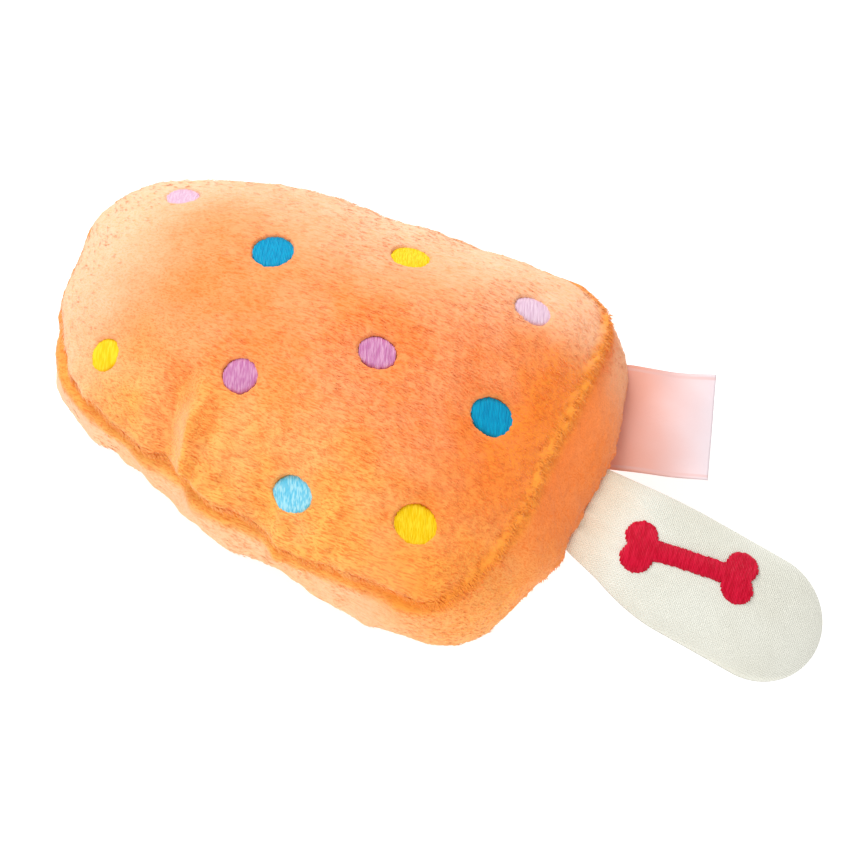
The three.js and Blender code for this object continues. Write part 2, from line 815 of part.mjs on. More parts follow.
function squeakerPlug() {
  const low = plugLow();
  const top = low + plugFlangeThickness + plugBarrelLength;
  const bore = plugBoreDiameter / 2;
  const barrel = plugBarrelDiameter / 2;
  const profile = [
    [bore, low],
    [plugFlangeDiameter / 2, low],
    [plugFlangeDiameter / 2, low + plugFlangeThickness],
    [barrel, low + plugFlangeThickness],
    [barrel, top],
    [bore, top],
    [bore, low],
  ];
  piece("squeaker_plug", turned(profile, bulbSideCount), materials.plug);
}

// The reed's half round seat, pushed into the plug with its open side towards the stick.
function reedChannel() {
  const outer = plugBoreDiameter / 2 - clearance;
  const inner = outer - channelWall;
  const shape = new THREE.Shape()
    .absarc(0, 0, outer, Math.PI / 2, (3 * Math.PI) / 2, false)
    .absarc(0, 0, inner, (3 * Math.PI) / 2, Math.PI / 2, true);
  const channel = new THREE.ExtrudeGeometry(shape, {
    depth: channelLength,
    bevelEnabled: false,
    curveSegments: roundSideCount / 2,
  }).translate(bodyMiddle.x, bodyMiddle.y, plugLow());
  piece("reed_channel", channel, materials.plug);
}

function squeakerReed() {
  const low = plugLow() + plugFlangeThickness + plugBarrelLength - reedSeatDepth;
  const face = bodyMiddle.x + clearance;
  const reed = boxBetween(
    new THREE.Vector3(face, bodyMiddle.y - reedWidth / 2, low),
    new THREE.Vector3(face + reedThickness, bodyMiddle.y + reedWidth / 2, low + reedLength),
  );
  piece("squeaker_reed", reed, materials.plug);
}

frontPanel();
embroideredDots();
embroideryBacking();
gussetStrip();
backPanel();
seamThreads();
closingStitch();
bodyFilling();
squeakerBulb();
squeakerPlug();
reedChannel();
squeakerReed();
stickRootTab();
stickCovers();
stickFilling();
stickSeamThread();
boneMotif();
careLabel();

// The origin is the middle of the toy's footprint, on the floor.
const bounds = new THREE.Box3().setFromObject(toy);
const centre = bounds.getCenter(new THREE.Vector3());
toy.position.set(-centre.x, -centre.y, -bounds.min.z);

export default toy;
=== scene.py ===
"""Dresses the stuffed popsicle dog toy: plush skins, satin-stitch dots, cloth stick, label, squeaker."""

import json
import logging
import math
from collections.abc import Callable
from dataclasses import dataclass
from enum import Enum
from functools import partial

import bpy
import numpy as np
from bpy.types import Material, Mesh, Node, NodeSocket, NodeTree, Object
from mathutils import Matrix, Vector
from mathutils.bvhtree import BVHTree

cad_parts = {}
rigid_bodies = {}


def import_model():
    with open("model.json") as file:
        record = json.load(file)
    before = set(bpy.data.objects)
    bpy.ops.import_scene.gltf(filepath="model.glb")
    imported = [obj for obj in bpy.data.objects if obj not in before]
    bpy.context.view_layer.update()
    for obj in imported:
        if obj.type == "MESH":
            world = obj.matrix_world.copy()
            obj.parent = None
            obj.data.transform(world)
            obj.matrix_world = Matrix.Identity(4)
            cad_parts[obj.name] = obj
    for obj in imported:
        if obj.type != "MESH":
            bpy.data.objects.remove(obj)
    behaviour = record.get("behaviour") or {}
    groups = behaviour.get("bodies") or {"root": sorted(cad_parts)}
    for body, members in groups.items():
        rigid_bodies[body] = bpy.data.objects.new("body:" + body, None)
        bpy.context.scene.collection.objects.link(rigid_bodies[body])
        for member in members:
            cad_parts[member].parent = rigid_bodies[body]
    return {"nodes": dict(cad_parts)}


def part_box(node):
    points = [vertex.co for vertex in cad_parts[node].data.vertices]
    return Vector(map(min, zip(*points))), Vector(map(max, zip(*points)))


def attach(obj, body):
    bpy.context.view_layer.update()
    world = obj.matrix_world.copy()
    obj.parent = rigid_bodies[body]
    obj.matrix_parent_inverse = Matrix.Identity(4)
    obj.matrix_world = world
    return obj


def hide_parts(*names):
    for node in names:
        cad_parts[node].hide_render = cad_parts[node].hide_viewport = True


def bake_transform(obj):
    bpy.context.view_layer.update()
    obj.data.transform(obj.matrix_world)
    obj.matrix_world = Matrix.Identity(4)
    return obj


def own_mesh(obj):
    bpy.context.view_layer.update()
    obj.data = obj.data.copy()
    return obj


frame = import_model()

LOG = logging.getLogger("popsicle_toy")
MM = 0.001
# From the body's own frame, which starts at the seam of the stick end, to the part's, in millimetres.
SHIFT = np.array([30.966, 0.0588, 0.0])
UP = np.array([0.0, 0.0, 1.0])
YARN_PITCH = 0.00072
RIB_PITCH = 0.0004


# ---------------------------------------------------------------------------
# Small numeric helpers


def smooth(value: np.ndarray, low: float, high: float) -> np.ndarray:
    """Rises softly from 0 at low to 1 at high."""
    t = np.clip((value - low) / (high - low), 0, 1)
    return t * t * (3 - 2 * t)


def unit(vectors: np.ndarray) -> np.ndarray:
    """Scales each vector to a length of one."""
    return vectors / (np.linalg.norm(vectors, axis=-1, keepdims=True) + 1e-12)


def to_segment(points: np.ndarray, a: np.ndarray, b: np.ndarray) -> np.ndarray:
    """Distance from each point to the straight line between a and b."""
    along = b - a
    t = np.clip(((points - a) @ along) / (along @ along + 1e-9), 0, 1)
    return np.linalg.norm(points - a - t[..., None] * along, axis=-1)


class ClothNoise:
    """Smooth, repeatable noise from -1 to 1, for lumps, wrinkles and pile."""

    def __init__(self, seed: int) -> None:
        """Fills the lattice of random values.

        Args:
            seed: The same seed gives the same cloth on every run.
        """
        self.lattice = np.random.default_rng(seed).random((32, 32, 32)) * 2 - 1

    def at(self, points: np.ndarray, size: tuple[float, float, float]) -> np.ndarray:
        """Reads the noise at points.

        Args:
            points: Places in millimetres.
            size: How long one lump is along each axis, in millimetres.

        Returns:
            One value for each point.
        """
        place = points / np.array(size)
        low = np.floor(place).astype(int)
        part = place - low
        part = part * part * (3 - 2 * part)
        total = np.zeros(points.shape[:-1])
        for corner in np.ndindex(2, 2, 2):
            index = (low + np.array(corner)) % 32
            weight = np.prod(np.where(np.array(corner) == 1, part, 1 - part), axis=-1)
            total += weight * self.lattice[index[..., 0], index[..., 1], index[..., 2]]
        return total


def grid_faces(rows: int, columns: int, wrap_rows: bool) -> np.ndarray:
    """Faces between rings that close on themselves.

    Args:
        rows: How many rings there are.
        columns: How many points each ring has.
        wrap_rows: Whether the last ring joins the first one.

    Returns:
        Four vertex numbers for each face.
    """
    row = np.arange(rows if wrap_rows else rows - 1)[:, None]
    column = np.arange(columns)[None, :]
    beside = (column + 1) % columns
    below = (row + 1) % rows
    corners = [
        row * columns + column,
        row * columns + beside,
        below * columns + beside,
        below * columns + column,
    ]
    return np.stack([np.broadcast_to(c, (row.size, columns)) for c in corners], -1).reshape(-1, 4)


def skin_object(
    name: str, rings: list[np.ndarray], capped: bool = True, creased: tuple[int, ...] = ()
) -> Object:
    """Makes one closed skin from rings of points in millimetres.

    Args:
        name: The piece's name.
        rings: The rings in order, each with the same number of points.
        capped: Whether a point closes the first and the last ring. If not, the last joins the first.
        creased: The numbers of the rings where the cloth is folded sharply, at its seams.

    Returns:
        The new object, with its faces turned outwards.
    """
    columns = len(rings[0])
    points = np.concatenate(rings)
    faces = grid_faces(len(rings), columns, not capped).tolist()
    if capped:
        first, last = len(points), len(points) + 1
        points = np.concatenate([points, [rings[0].mean(0), rings[-1].mean(0)]])
        end = (len(rings) - 1) * columns
        for i in range(columns):
            beside = (i + 1) % columns
            faces.append([first, beside, i])
            faces.append([last, end + i, end + beside])
    mesh = bpy.data.meshes.new(name)
    mesh.from_pydata(((points + SHIFT) * MM).tolist(), [], faces)
    if signed_volume(mesh) < 0:
        mesh.flip_normals()
    mesh.shade_smooth()
    ends = np.empty(len(mesh.edges) * 2, int)
    mesh.edges.foreach_get("vertices", ends)
    row = ends.reshape(-1, 2) // columns
    mesh.edges.foreach_set("use_edge_sharp", (row[:, 0] == row[:, 1]) & np.isin(row[:, 0], creased))
    piece = bpy.data.objects.new(name, mesh)
    bpy.context.scene.collection.objects.link(piece)
    return piece


def signed_volume(mesh: Mesh) -> float:
    """Volume of a closed mesh, negative if its faces point inwards."""
    mesh.calc_loop_triangles()
    triangles = np.empty(len(mesh.loop_triangles) * 3, int)
    mesh.loop_triangles.foreach_get("vertices", triangles)
    places = np.empty(len(mesh.vertices) * 3)
    mesh.vertices.foreach_get("co", places)
    a, b, c = places.reshape(-1, 3)[triangles.reshape(-1, 3)].transpose(1, 0, 2)
    return float(np.einsum("ij,ij->i", a, np.cross(b, c)).sum() / 6)


def joined(piece: Object, extra: Object) -> None:
    """Joins a second mesh into a piece."""
    bpy.ops.object.select_all(action="DESELECT")
    extra.select_set(True)
    piece.select_set(True)
    bpy.context.view_layer.objects.active = piece
    bpy.ops.object.join()


def edit_whole(*steps: Callable[[], object]) -> None:
    """Applies the active object's transform, then runs steps, each on the whole of its mesh."""
    bpy.ops.object.transform_apply(location=True, rotation=True, scale=True)
    bpy.ops.object.mode_set(mode="EDIT")
    for step in steps:
        bpy.ops.mesh.select_all(action="SELECT")
        step()
    bpy.ops.object.mode_set(mode="OBJECT")


def plain_object(name: str, points: np.ndarray, faces: list[list[int]]) -> Object:
    """Makes an object from points in the part's frame, in millimetres, and faces."""
    mesh = bpy.data.meshes.new(name)
    mesh.from_pydata((points * MM).tolist(), [], faces)
    mesh.shade_smooth()
    piece = bpy.data.objects.new(name, mesh)
    bpy.context.scene.collection.objects.link(piece)
    return piece


# ---------------------------------------------------------------------------
# Forms


@dataclass(frozen=True)
class Fold:
    """A ridge, or a valley where its height is below 0, along a straight line in the part's frame."""

    start: tuple[float, float, float]
    end: tuple[float, float, float]
    width: float
    height: float

    def lift(self, points: np.ndarray) -> np.ndarray:
        """How far this fold lifts each point, in millimetres."""
        apart = to_segment(points, np.array(self.start), np.array(self.end))
        return self.height * np.exp(-((apart / self.width) ** 2))


@dataclass
class BodyForm:
    """The stuffed body's surfaces, in millimetres from the seam at the stick end.

    A turn is a share of the way round the seam: 0 at the far corner of the stick end, 0.25 on the far
    side, 0.5 at the dome's near tip, 0.8 at the near corner. The trims move the seams outwards there.
    """

    length: float = 147.2
    width: float = 107.6
    corner_radius: float = 18.2
    dome_width: float = 97.7
    dome_length: float = 72.6
    dome_skew: float = 14.2
    far_power: float = 1.76
    near_power: float = 3.18
    seam_at_stick: float = 39.8
    seam_at_dome: float = 26.4
    crown: float = 27.1
    crown_fullness: float = 0.8
    back_at_stick: float = 23
    back_at_sides: float = 8.5
    end_bulge: float = 16.5
    end_reach: float = 10
    side_bulge: float = 0.8
    near_dome_bulge: float = 3.8
    gusset_swell: float = 2.4
    gusset_ease: float = 0.9
    back_turn_up: float = 2.6
    rest_share: float = 0.6
    stick_root_width: float = 26
    turns: int = 720
    tight_turns: tuple[float, float, float, float] = (0.1, 0.26, 0.47, 0.5)
    seam_trim: tuple[tuple[float, float], ...] = (
        (0, 0), (0.03, 0.3), (0.08, -0.2), (0.14, 0.3), (0.27, 0.4), (0.3, -0.9), (0.33, 0.2),
        (0.36, 0.2), (0.4, 1.2), (0.43, 0.8), (0.46, 0.9), (0.49, 1.5), (0.51, 1.2), (0.53, -0.1),
        (0.55, -1.5), (0.58, -2.4), (0.6, -2.4), (0.615, -1.9), (0.63, -0.2), (0.65, 1.2), (0.67, 1.3),
        (0.685, 2.4), (0.7, 2.2), (0.715, 1.4), (0.73, 0.5), (0.75, -1), (0.77, -1.9), (0.8, -2.3),
        (0.825, -2.1), (0.84, -0.9), (0.86, 0.4), (0.9, 1.1), (0.94, -0.3), (1, 0),
    )
    side_trim: tuple[tuple[float, float], ...] = (
        (0, -0.6), (0.04, -0.9), (0.08, -0.8), (0.11, -0.6), (0.14, 0.2), (0.2, -0.8), (0.3, -0.9),
        (0.33, 0), (0.37, 0), (0.4, 1), (0.42, -1.6), (0.44, -3), (0.47, -3.2), (0.484, -2.6),
        (0.495, -0.8), (0.51, -1.6), (0.52, -2.6), (0.535, -1), (0.55, -5.2), (0.58, -5), (0.6, -3.4),
        (0.615, -1.6), (0.64, 1), (0.66, 1.4), (0.68, -0.5), (0.71, -0.4), (0.74, -0.6), (0.76, -0.6),
        (0.78, -2.6), (0.8, -1.6), (0.82, -1.8), (0.825, -2.4), (0.84, -0.8), (0.88, 0.9), (0.9, -1.4),
        (0.92, -1.8), (0.945, -0.7), (0.97, 0), (1, -0.6),
    )

    def __post_init__(self) -> None:
        """Works out the seam lines once, for every surface to use."""
        turn = np.arange(self.turns) / self.turns
        trims = (np.interp(turn, *np.array(table).T) for table in (self.seam_trim, self.side_trim))
        self.seam_shift, self.side_shift = (self._eased(trim) for trim in trims)
        self.middle = np.array([-self.length / 2, 0.0])
        near = self._side(-1, self.near_power)[::-1][1:]
        path = np.vstack([self._side(1, self.far_power), near])
        path = np.vstack([path, path[:1]])
        run = np.r_[0, np.cumsum(np.hypot(*np.diff(path, axis=0).T))]
        steps = np.linspace(0, run[-1], self.turns, endpoint=False)
        self.seam = np.stack([np.interp(steps, run, path[:, k]) for k in (0, 1)], 1)
        tangent = unit(np.roll(self.seam, -1, 0) - np.roll(self.seam, 1, 0))
        self.outward = np.stack([tangent[:, 1], -tangent[:, 0]], 1)
        x, y = self.seam.T
        near_end = np.exp(-((x / self.end_reach) ** 2))
        self.end_share = np.maximum(0, np.cos(np.pi * y / self.width)) ** 0.8 * near_end
        into_dome = np.clip((self.dome_length - self.length - x) / self.dome_length, 0, 1)
        dome_share = into_dome * np.clip((self.dome_skew - y) / (self.dome_width / 2), 0, 1)
        self.bulge = self.side_bulge + (self.end_bulge - self.side_bulge) * self.end_share
        self.bulge = self.bulge + self.near_dome_bulge * dome_share
        outside = self.width / 2 - np.abs(y)
        climb = np.clip(outside / ((self.width - self.stick_root_width) / 2 - 0.3), 0, 1)
        rise = np.sin(np.pi / 2 * climb) * near_end
        self.back_height = self.back_at_sides + (self.back_at_stick - self.back_at_sides) * rise
        ray = self.seam - self.middle
        angle = np.arctan2(ray[:, 1], ray[:, 0])
        order = np.argsort(angle)
        self._angles, self._reaches = angle[order], np.hypot(*ray.T)[order]
        self._shifts = (self.outward * self.seam_shift[:, None])[order]
        self.levels, self.moves = np.array([0.0, 3.0]), np.zeros((2, 4, 3))

    def _eased(self, values: np.ndarray) -> np.ndarray:
        """Rounds off the corners of a closed run of values."""
        span = np.arange(-14, 15)
        weight = np.exp(-((span / 6) ** 2))
        rolled = [w * np.roll(values, k) for k, w in zip(span, weight)]
        return np.sum(rolled, axis=0) / weight.sum()

    def _side(self, sign: int, power: float) -> np.ndarray:
        """One half of the front seam in plan, from the stick end to the tip of the dome."""
        straight = self.length - self.dome_length
        turn = np.linspace(0, np.pi / 2, 240)
        corner = np.array([-self.corner_radius, self.width / 2 - self.corner_radius])
        round_end = corner + self.corner_radius * np.stack([np.cos(turn), np.sin(turn)], 1)
        dome_x = -straight - self.dome_length * np.sin(turn) ** (2 / power)
        dome_y = self.dome_width / 2 * np.maximum(0, np.cos(turn)) ** (2 / power)
        points = np.vstack([round_end, np.stack([dome_x, dome_y], 1)])
        leaned = np.clip((-points[:, 0] - straight) / self.dome_length, 0, 1)
        points[:, 1] = sign * points[:, 1] + self.dome_skew * leaned**2
        return points

    def seam_height(self, x: np.ndarray) -> np.ndarray:
        """Height of the front seam's plane over a place along the toy."""
        share = np.clip(-x / self.length, 0, 1)
        return self.seam_at_stick + (self.seam_at_dome - self.seam_at_stick) * share

    def puckers(self, level: float) -> np.ndarray:
        """How the simulated cloth moves one ring.

        Args:
            level: 0 to 1 over the front, 1 to 2 down the gusset, 2 to 3 over the back.

        Returns:
            A move for each point of the ring.
        """
        last = len(self.levels) - 1
        place = float(np.interp(level, self.levels, np.arange(last + 1)))
        low = min(int(place), last - 1)
        t = place - low
        a, b, c, d = (self.moves[min(max(low + k, 0), last)] for k in (-1, 0, 1, 2))
        row = b + 0.5 * t * (c - a + t * (2 * a - 5 * b + 4 * c - d + t * (3 * (b - c) + d - a)))
        return np.fft.irfft(np.fft.rfft(row, axis=0), self.turns, axis=0) * (self.turns / len(row))

    def front_ring(self, share: float, inwards: float = 0, lowered: float = 0) -> np.ndarray:
        """One ring of the domed front.

        Args:
            share: 0 at the middle of the front, 1 at the seam.
            inwards: How far the seam is drawn in.
            lowered: How much flatter the crown is.

        Returns:
            The ring's points.
        """
        seam = self.seam - self.outward * inwards
        plan = self.middle + share * (seam - self.middle)
        plan = plan + self.outward * (self.seam_shift * share**5)[:, None]
        crown = (self.crown - lowered) * (1 - share**2) ** self.crown_fullness
        return np.column_stack([plan, self.seam_height(plan[:, 0]) + crown]) + self.puckers(share)

    def side_ring(self, share: float, inwards: float = 0) -> np.ndarray:
        """One ring of the gusset, from 0 at the front seam to 1 at the back seam."""
        bulge = self.bulge * np.sin(np.pi / 2 * share) ** self.gusset_ease
        slack = np.interp(np.arange(self.turns) / self.turns, self.tight_turns, (1, 0.1, 0.1, 1))
        swell = self.gusset_swell * np.sin(np.pi * share) * (1 - self.end_share) * slack
        lower = float(smooth(np.array(share), 0.0, 0.5))
        trim = self.seam_shift * (1 - lower) + self.side_shift * lower
        plan = self.seam + self.outward * (bulge + swell + trim - inwards)[:, None]
        top = self.seam_height(self.seam[:, 0])
        return np.column_stack([plan, top + (self.back_height - top) * share]) + self.puckers(1 + share)

    def back_ring(self, share: float, inwards: float = 0, floor: float = 0) -> np.ndarray:
        """One ring of the back, from 0 at its middle to 1 at the back seam."""
        seam = self.seam + self.outward * (self.bulge - inwards)[:, None]
        plan = self.middle + share * (seam - self.middle)
        plan = plan + self.outward * (self.side_shift * share**5)[:, None]
        rise = (max(0.0, share - self.rest_share) / (1 - self.rest_share)) ** self.back_turn_up
        return np.column_stack([plan, floor + (self.back_height - floor) * rise]) + self.puckers(3 - share)

    def front_height(self, plan: np.ndarray) -> np.ndarray:
        """Height of the front surface over places in plan."""
        ray = plan - self.middle
        for _ in range(4):
            angle = np.arctan2(ray[..., 1], ray[..., 0])
            reach = np.interp(angle, self._angles, self._reaches, period=2 * np.pi)
            share = np.clip(np.hypot(ray[..., 0], ray[..., 1]) / reach, 0, 1)
            shift = [np.interp(angle, self._angles, self._shifts[:, k], period=2 * np.pi) for k in (0, 1)]
            ray = plan - self.middle - np.stack(shift, -1) * share[..., None] ** 5
        crown = self.crown * (1 - share**2) ** self.crown_fullness
        return self.seam_height(plan[..., 0]) + crown

    def swelling(self, points: np.ndarray) -> np.ndarray:
        """The direction in which stuffing pushes the skin out at each point."""
        away = points - np.array([self.middle[0], 0, 24])
        push = np.stack(
            [
                4 * np.sign(away[..., 0]) * np.abs(away[..., 0] / 80) ** 3 / 80,
                4 * np.sign(away[..., 1]) * np.abs(away[..., 1] / 56) ** 3 / 56,
                2 * away[..., 2] / 32**2,
            ],
            -1,
        )
        return unit(push)


@dataclass
class ClothTrial:
    """A cloth simulation of the sewn body, which gives its skins their puckers."""

    form: BodyForm
    columns: int = 180
    front_rows: int = 27
    side_rows: int = 10
    back_rows: int = 16
    pressure: float = 4.0
    gather: float = 0.1
    frames: int = 20
    cap: float = 0.9
    broad_passes: int = 26
    seam_reach: float = 0.4

    def run(self) -> None:
        """Sews, gathers and presses the body out, and keeps the puckers in the form."""
        front = np.linspace(0.08, 1, self.front_rows)
        side = 1 + np.linspace(0, 1, self.side_rows)[1:]
        back = 2 + np.linspace(0, 0.92, self.back_rows)[1:]
        levels = np.concatenate([front, side, back])
        rest = np.array([self._ring(level) for level in levels])
        pressed = self._pressed(rest, levels)
        moves = self._short_waves(pressed - rest)
        seams = sum(np.exp(-(((levels - seam) / self.seam_reach) ** 2)) for seam in (1, 2))
        fade = smooth(levels, 0.1, 0.5) * (1 - smooth(levels, 2.45, 2.85))
        fade = fade * (0.3 + 0.7 * np.minimum(seams, 1))
        slack = (0.22 + 0.78 * smooth(-rest[..., 1], 0, 40)) * (1 - 0.5 * smooth(rest[..., 0], -16, 0))
        moves = moves * (fade[:, None] * slack)[..., None]
        size = np.linalg.norm(moves, axis=-1, keepdims=True) + 1e-9
        LOG.info("cloth: moves of %.2f mm on average, %.2f mm at most", size.mean(), size.max())
        self.form.levels, self.form.moves = levels, moves * self.cap * np.tanh(size / self.cap) / size

    def _ring(self, level: float) -> np.ndarray:
        """One ring of the smooth body."""
        if level <= 1:
            ring = self.form.front_ring(level)
        elif level <= 2:
            ring = self.form.side_ring(level - 1)
        else:
            ring = self.form.back_ring(3 - level)
        return ring[:: self.form.turns // self.columns]

    def _pressed(self, rest: np.ndarray, levels: np.ndarray) -> np.ndarray:
        """Simulates the cloth.

        Args:
            rest: The rings of the smooth body.
            levels: The level of each ring.

        Returns:
            The rings after the simulation.
        """
        trial = skin_object("cloth_trial", list(rest))
        seam = trial.vertex_groups.new(name="seam")
        for row, level in enumerate(levels):
            gathered = math.exp(-((min(abs(level - 1), abs(level - 2)) / 0.07) ** 2))
            seam.add(list(range(row * self.columns, (row + 1) * self.columns)), gathered, "REPLACE")
        cloth = trial.modifiers.new("cloth", "CLOTH")
        settings = cloth.settings
        settings.quality = 6
        settings.use_pressure = True
        settings.uniform_pressure_force = self.pressure
        settings.effector_weights.gravity = 0
        settings.vertex_group_shrink = seam.name
        settings.shrink_max = self.gather
        settings.bending_stiffness = 0.05
        for frame_number in range(1, self.frames + 1):
            bpy.context.scene.frame_set(frame_number)
        graph = bpy.context.evaluated_depsgraph_get()
        places = np.empty(len(trial.data.vertices) * 3)
        trial.evaluated_get(graph).data.vertices.foreach_get("co", places)
        mesh = trial.data
        bpy.data.objects.remove(trial)
        bpy.data.meshes.remove(mesh)
        bpy.context.scene.frame_set(1)
        return places.reshape(-1, 3)[: rest.shape[0] * self.columns].reshape(rest.shape) / MM - SHIFT

    def _short_waves(self, moves: np.ndarray) -> np.ndarray:
        """Keeps the puckers that run across the seams and takes the broad swelling out."""
        broad = moves
        for _ in range(self.broad_passes):
            broad = (np.roll(broad, 1, 1) + 2 * broad + np.roll(broad, -1, 1)) / 4
        puckers = moves - broad
        puckers = (np.roll(puckers, 1, 1) + 2 * puckers + np.roll(puckers, -1, 1)) / 4
        padded = np.concatenate([puckers[:1], puckers, puckers[-1:]])
        return (padded[:-2] + 2 * padded[1:-1] + padded[2:]) / 4


class Shade(Enum):
    """The thread colours of the embroidery."""

    LILAC = "lilac"
    BLUE = "blue"
    SKY = "sky"
    YELLOW = "yellow"
    RED = "red"


@dataclass(frozen=True)
class Dot:
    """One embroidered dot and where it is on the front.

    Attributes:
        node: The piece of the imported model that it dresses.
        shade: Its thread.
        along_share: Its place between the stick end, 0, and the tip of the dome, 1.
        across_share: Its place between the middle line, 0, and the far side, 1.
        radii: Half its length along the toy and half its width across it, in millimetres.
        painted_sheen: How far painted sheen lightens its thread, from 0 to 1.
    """

    node: str
    shade: Shade
    along_share: float
    across_share: float
    radii: tuple[float, float]
    painted_sheen: float = 0.0

    def plan(self, form: BodyForm) -> np.ndarray:
        """The dot's middle, in plan."""
        return np.array([-form.length * self.along_share, form.width / 2 * self.across_share])


# The lilac dots on the dome and the far side are lightened with painted sheen.
DOTS = (
    Dot("dot_lilac_dome", Shade.LILAC, 0.869, 0.524, (5.3, 4.3), 0.55),
    Dot("dot_blue_dome", Shade.BLUE, 0.627, 0.341, (5.7, 6.0)),
    Dot("dot_yellow_far", Shade.YELLOW, 0.397, 0.67, (5.4, 5.1)),
    Dot("dot_lilac_far", Shade.LILAC, 0.139, 0.682, (5.4, 4.2), 0.7),
    Dot("dot_yellow_dome", Shade.YELLOW, 0.838, -0.478, (4.8, 5.0)),
    Dot("dot_lilac_near", Shade.LILAC, 0.562, -0.352, (4.9, 4.9)),
    Dot("dot_lilac_middle", Shade.LILAC, 0.35, 0.05, (5.3, 4.7)),
    Dot("dot_blue_stick", Shade.BLUE, 0.111, 0.062, (6.2, 5.5)),
    Dot("dot_sky_near", Shade.SKY, 0.378, -0.76, (5.9, 5.2)),
    Dot("dot_yellow_stick", Shade.YELLOW, 0.141, -0.634, (6.0, 5.6)),
)

FOLDS = (
    Fold((-59.6, -27, 50.8), (-58.5, -36.1, 45.3), 4.4, 1.5),
    Fold((-58.9, -34, 46.6), (-57.0, -46.0, 35.5), 4.4, 2.4),
    Fold((-58.7, -33, 47.0), (-57.0, -45.6, 36), 1.8, 1.4),
    Fold((-66, -25, 49.6), (-64.3, -45, 35.5), 5.0, -3.1),
    Fold((-56.5, -47.2, 33.6), (-50.6, -47.8, 32.6), 2.3, -2.0),
    Fold((-49, -46.3, 37), (-43.5, -47, 36.5), 3.6, 1.2),
    Fold((-48, -36, 45), (-40, -39, 44.5), 7.0, 1.1),
    Fold((-24.8, -45.5, 42), (-22.3, -52.5, 29), 2.0, 1.3),
    Fold((-20.0, -46.5, 40.5), (-19.2, -53, 28.5), 2.8, -1.8),
    Fold((-31, -47, 39), (-29, -51, 31), 3.6, -1.2),
    Fold((-10, -49, 40), (22, -47, 44), 4.0, 0.7),
    Fold((-88, -32, 39), (-74, -36, 40), 8.0, 1.3),
    Fold((-94, -38, 25), (-92, -41, 14), 3.4, -0.9),
    Fold((-78, -42, 26), (-76, -44, 14), 3.2, -0.9),
    Fold((-70, -44, 24), (-68, -46, 14), 4.0, 0.6),
    Fold((-57, -48, 28), (-60, -48, 14), 2.8, -1.0),
    Fold((-50, -49, 24), (-45, -50, 18), 3.6, 0.7),
    Fold((-38, -50, 28), (-36, -51, 15), 2.8, -0.9),
    Fold((-13, -52.5, 30), (-9, -53, 14), 3.4, -0.8),
)


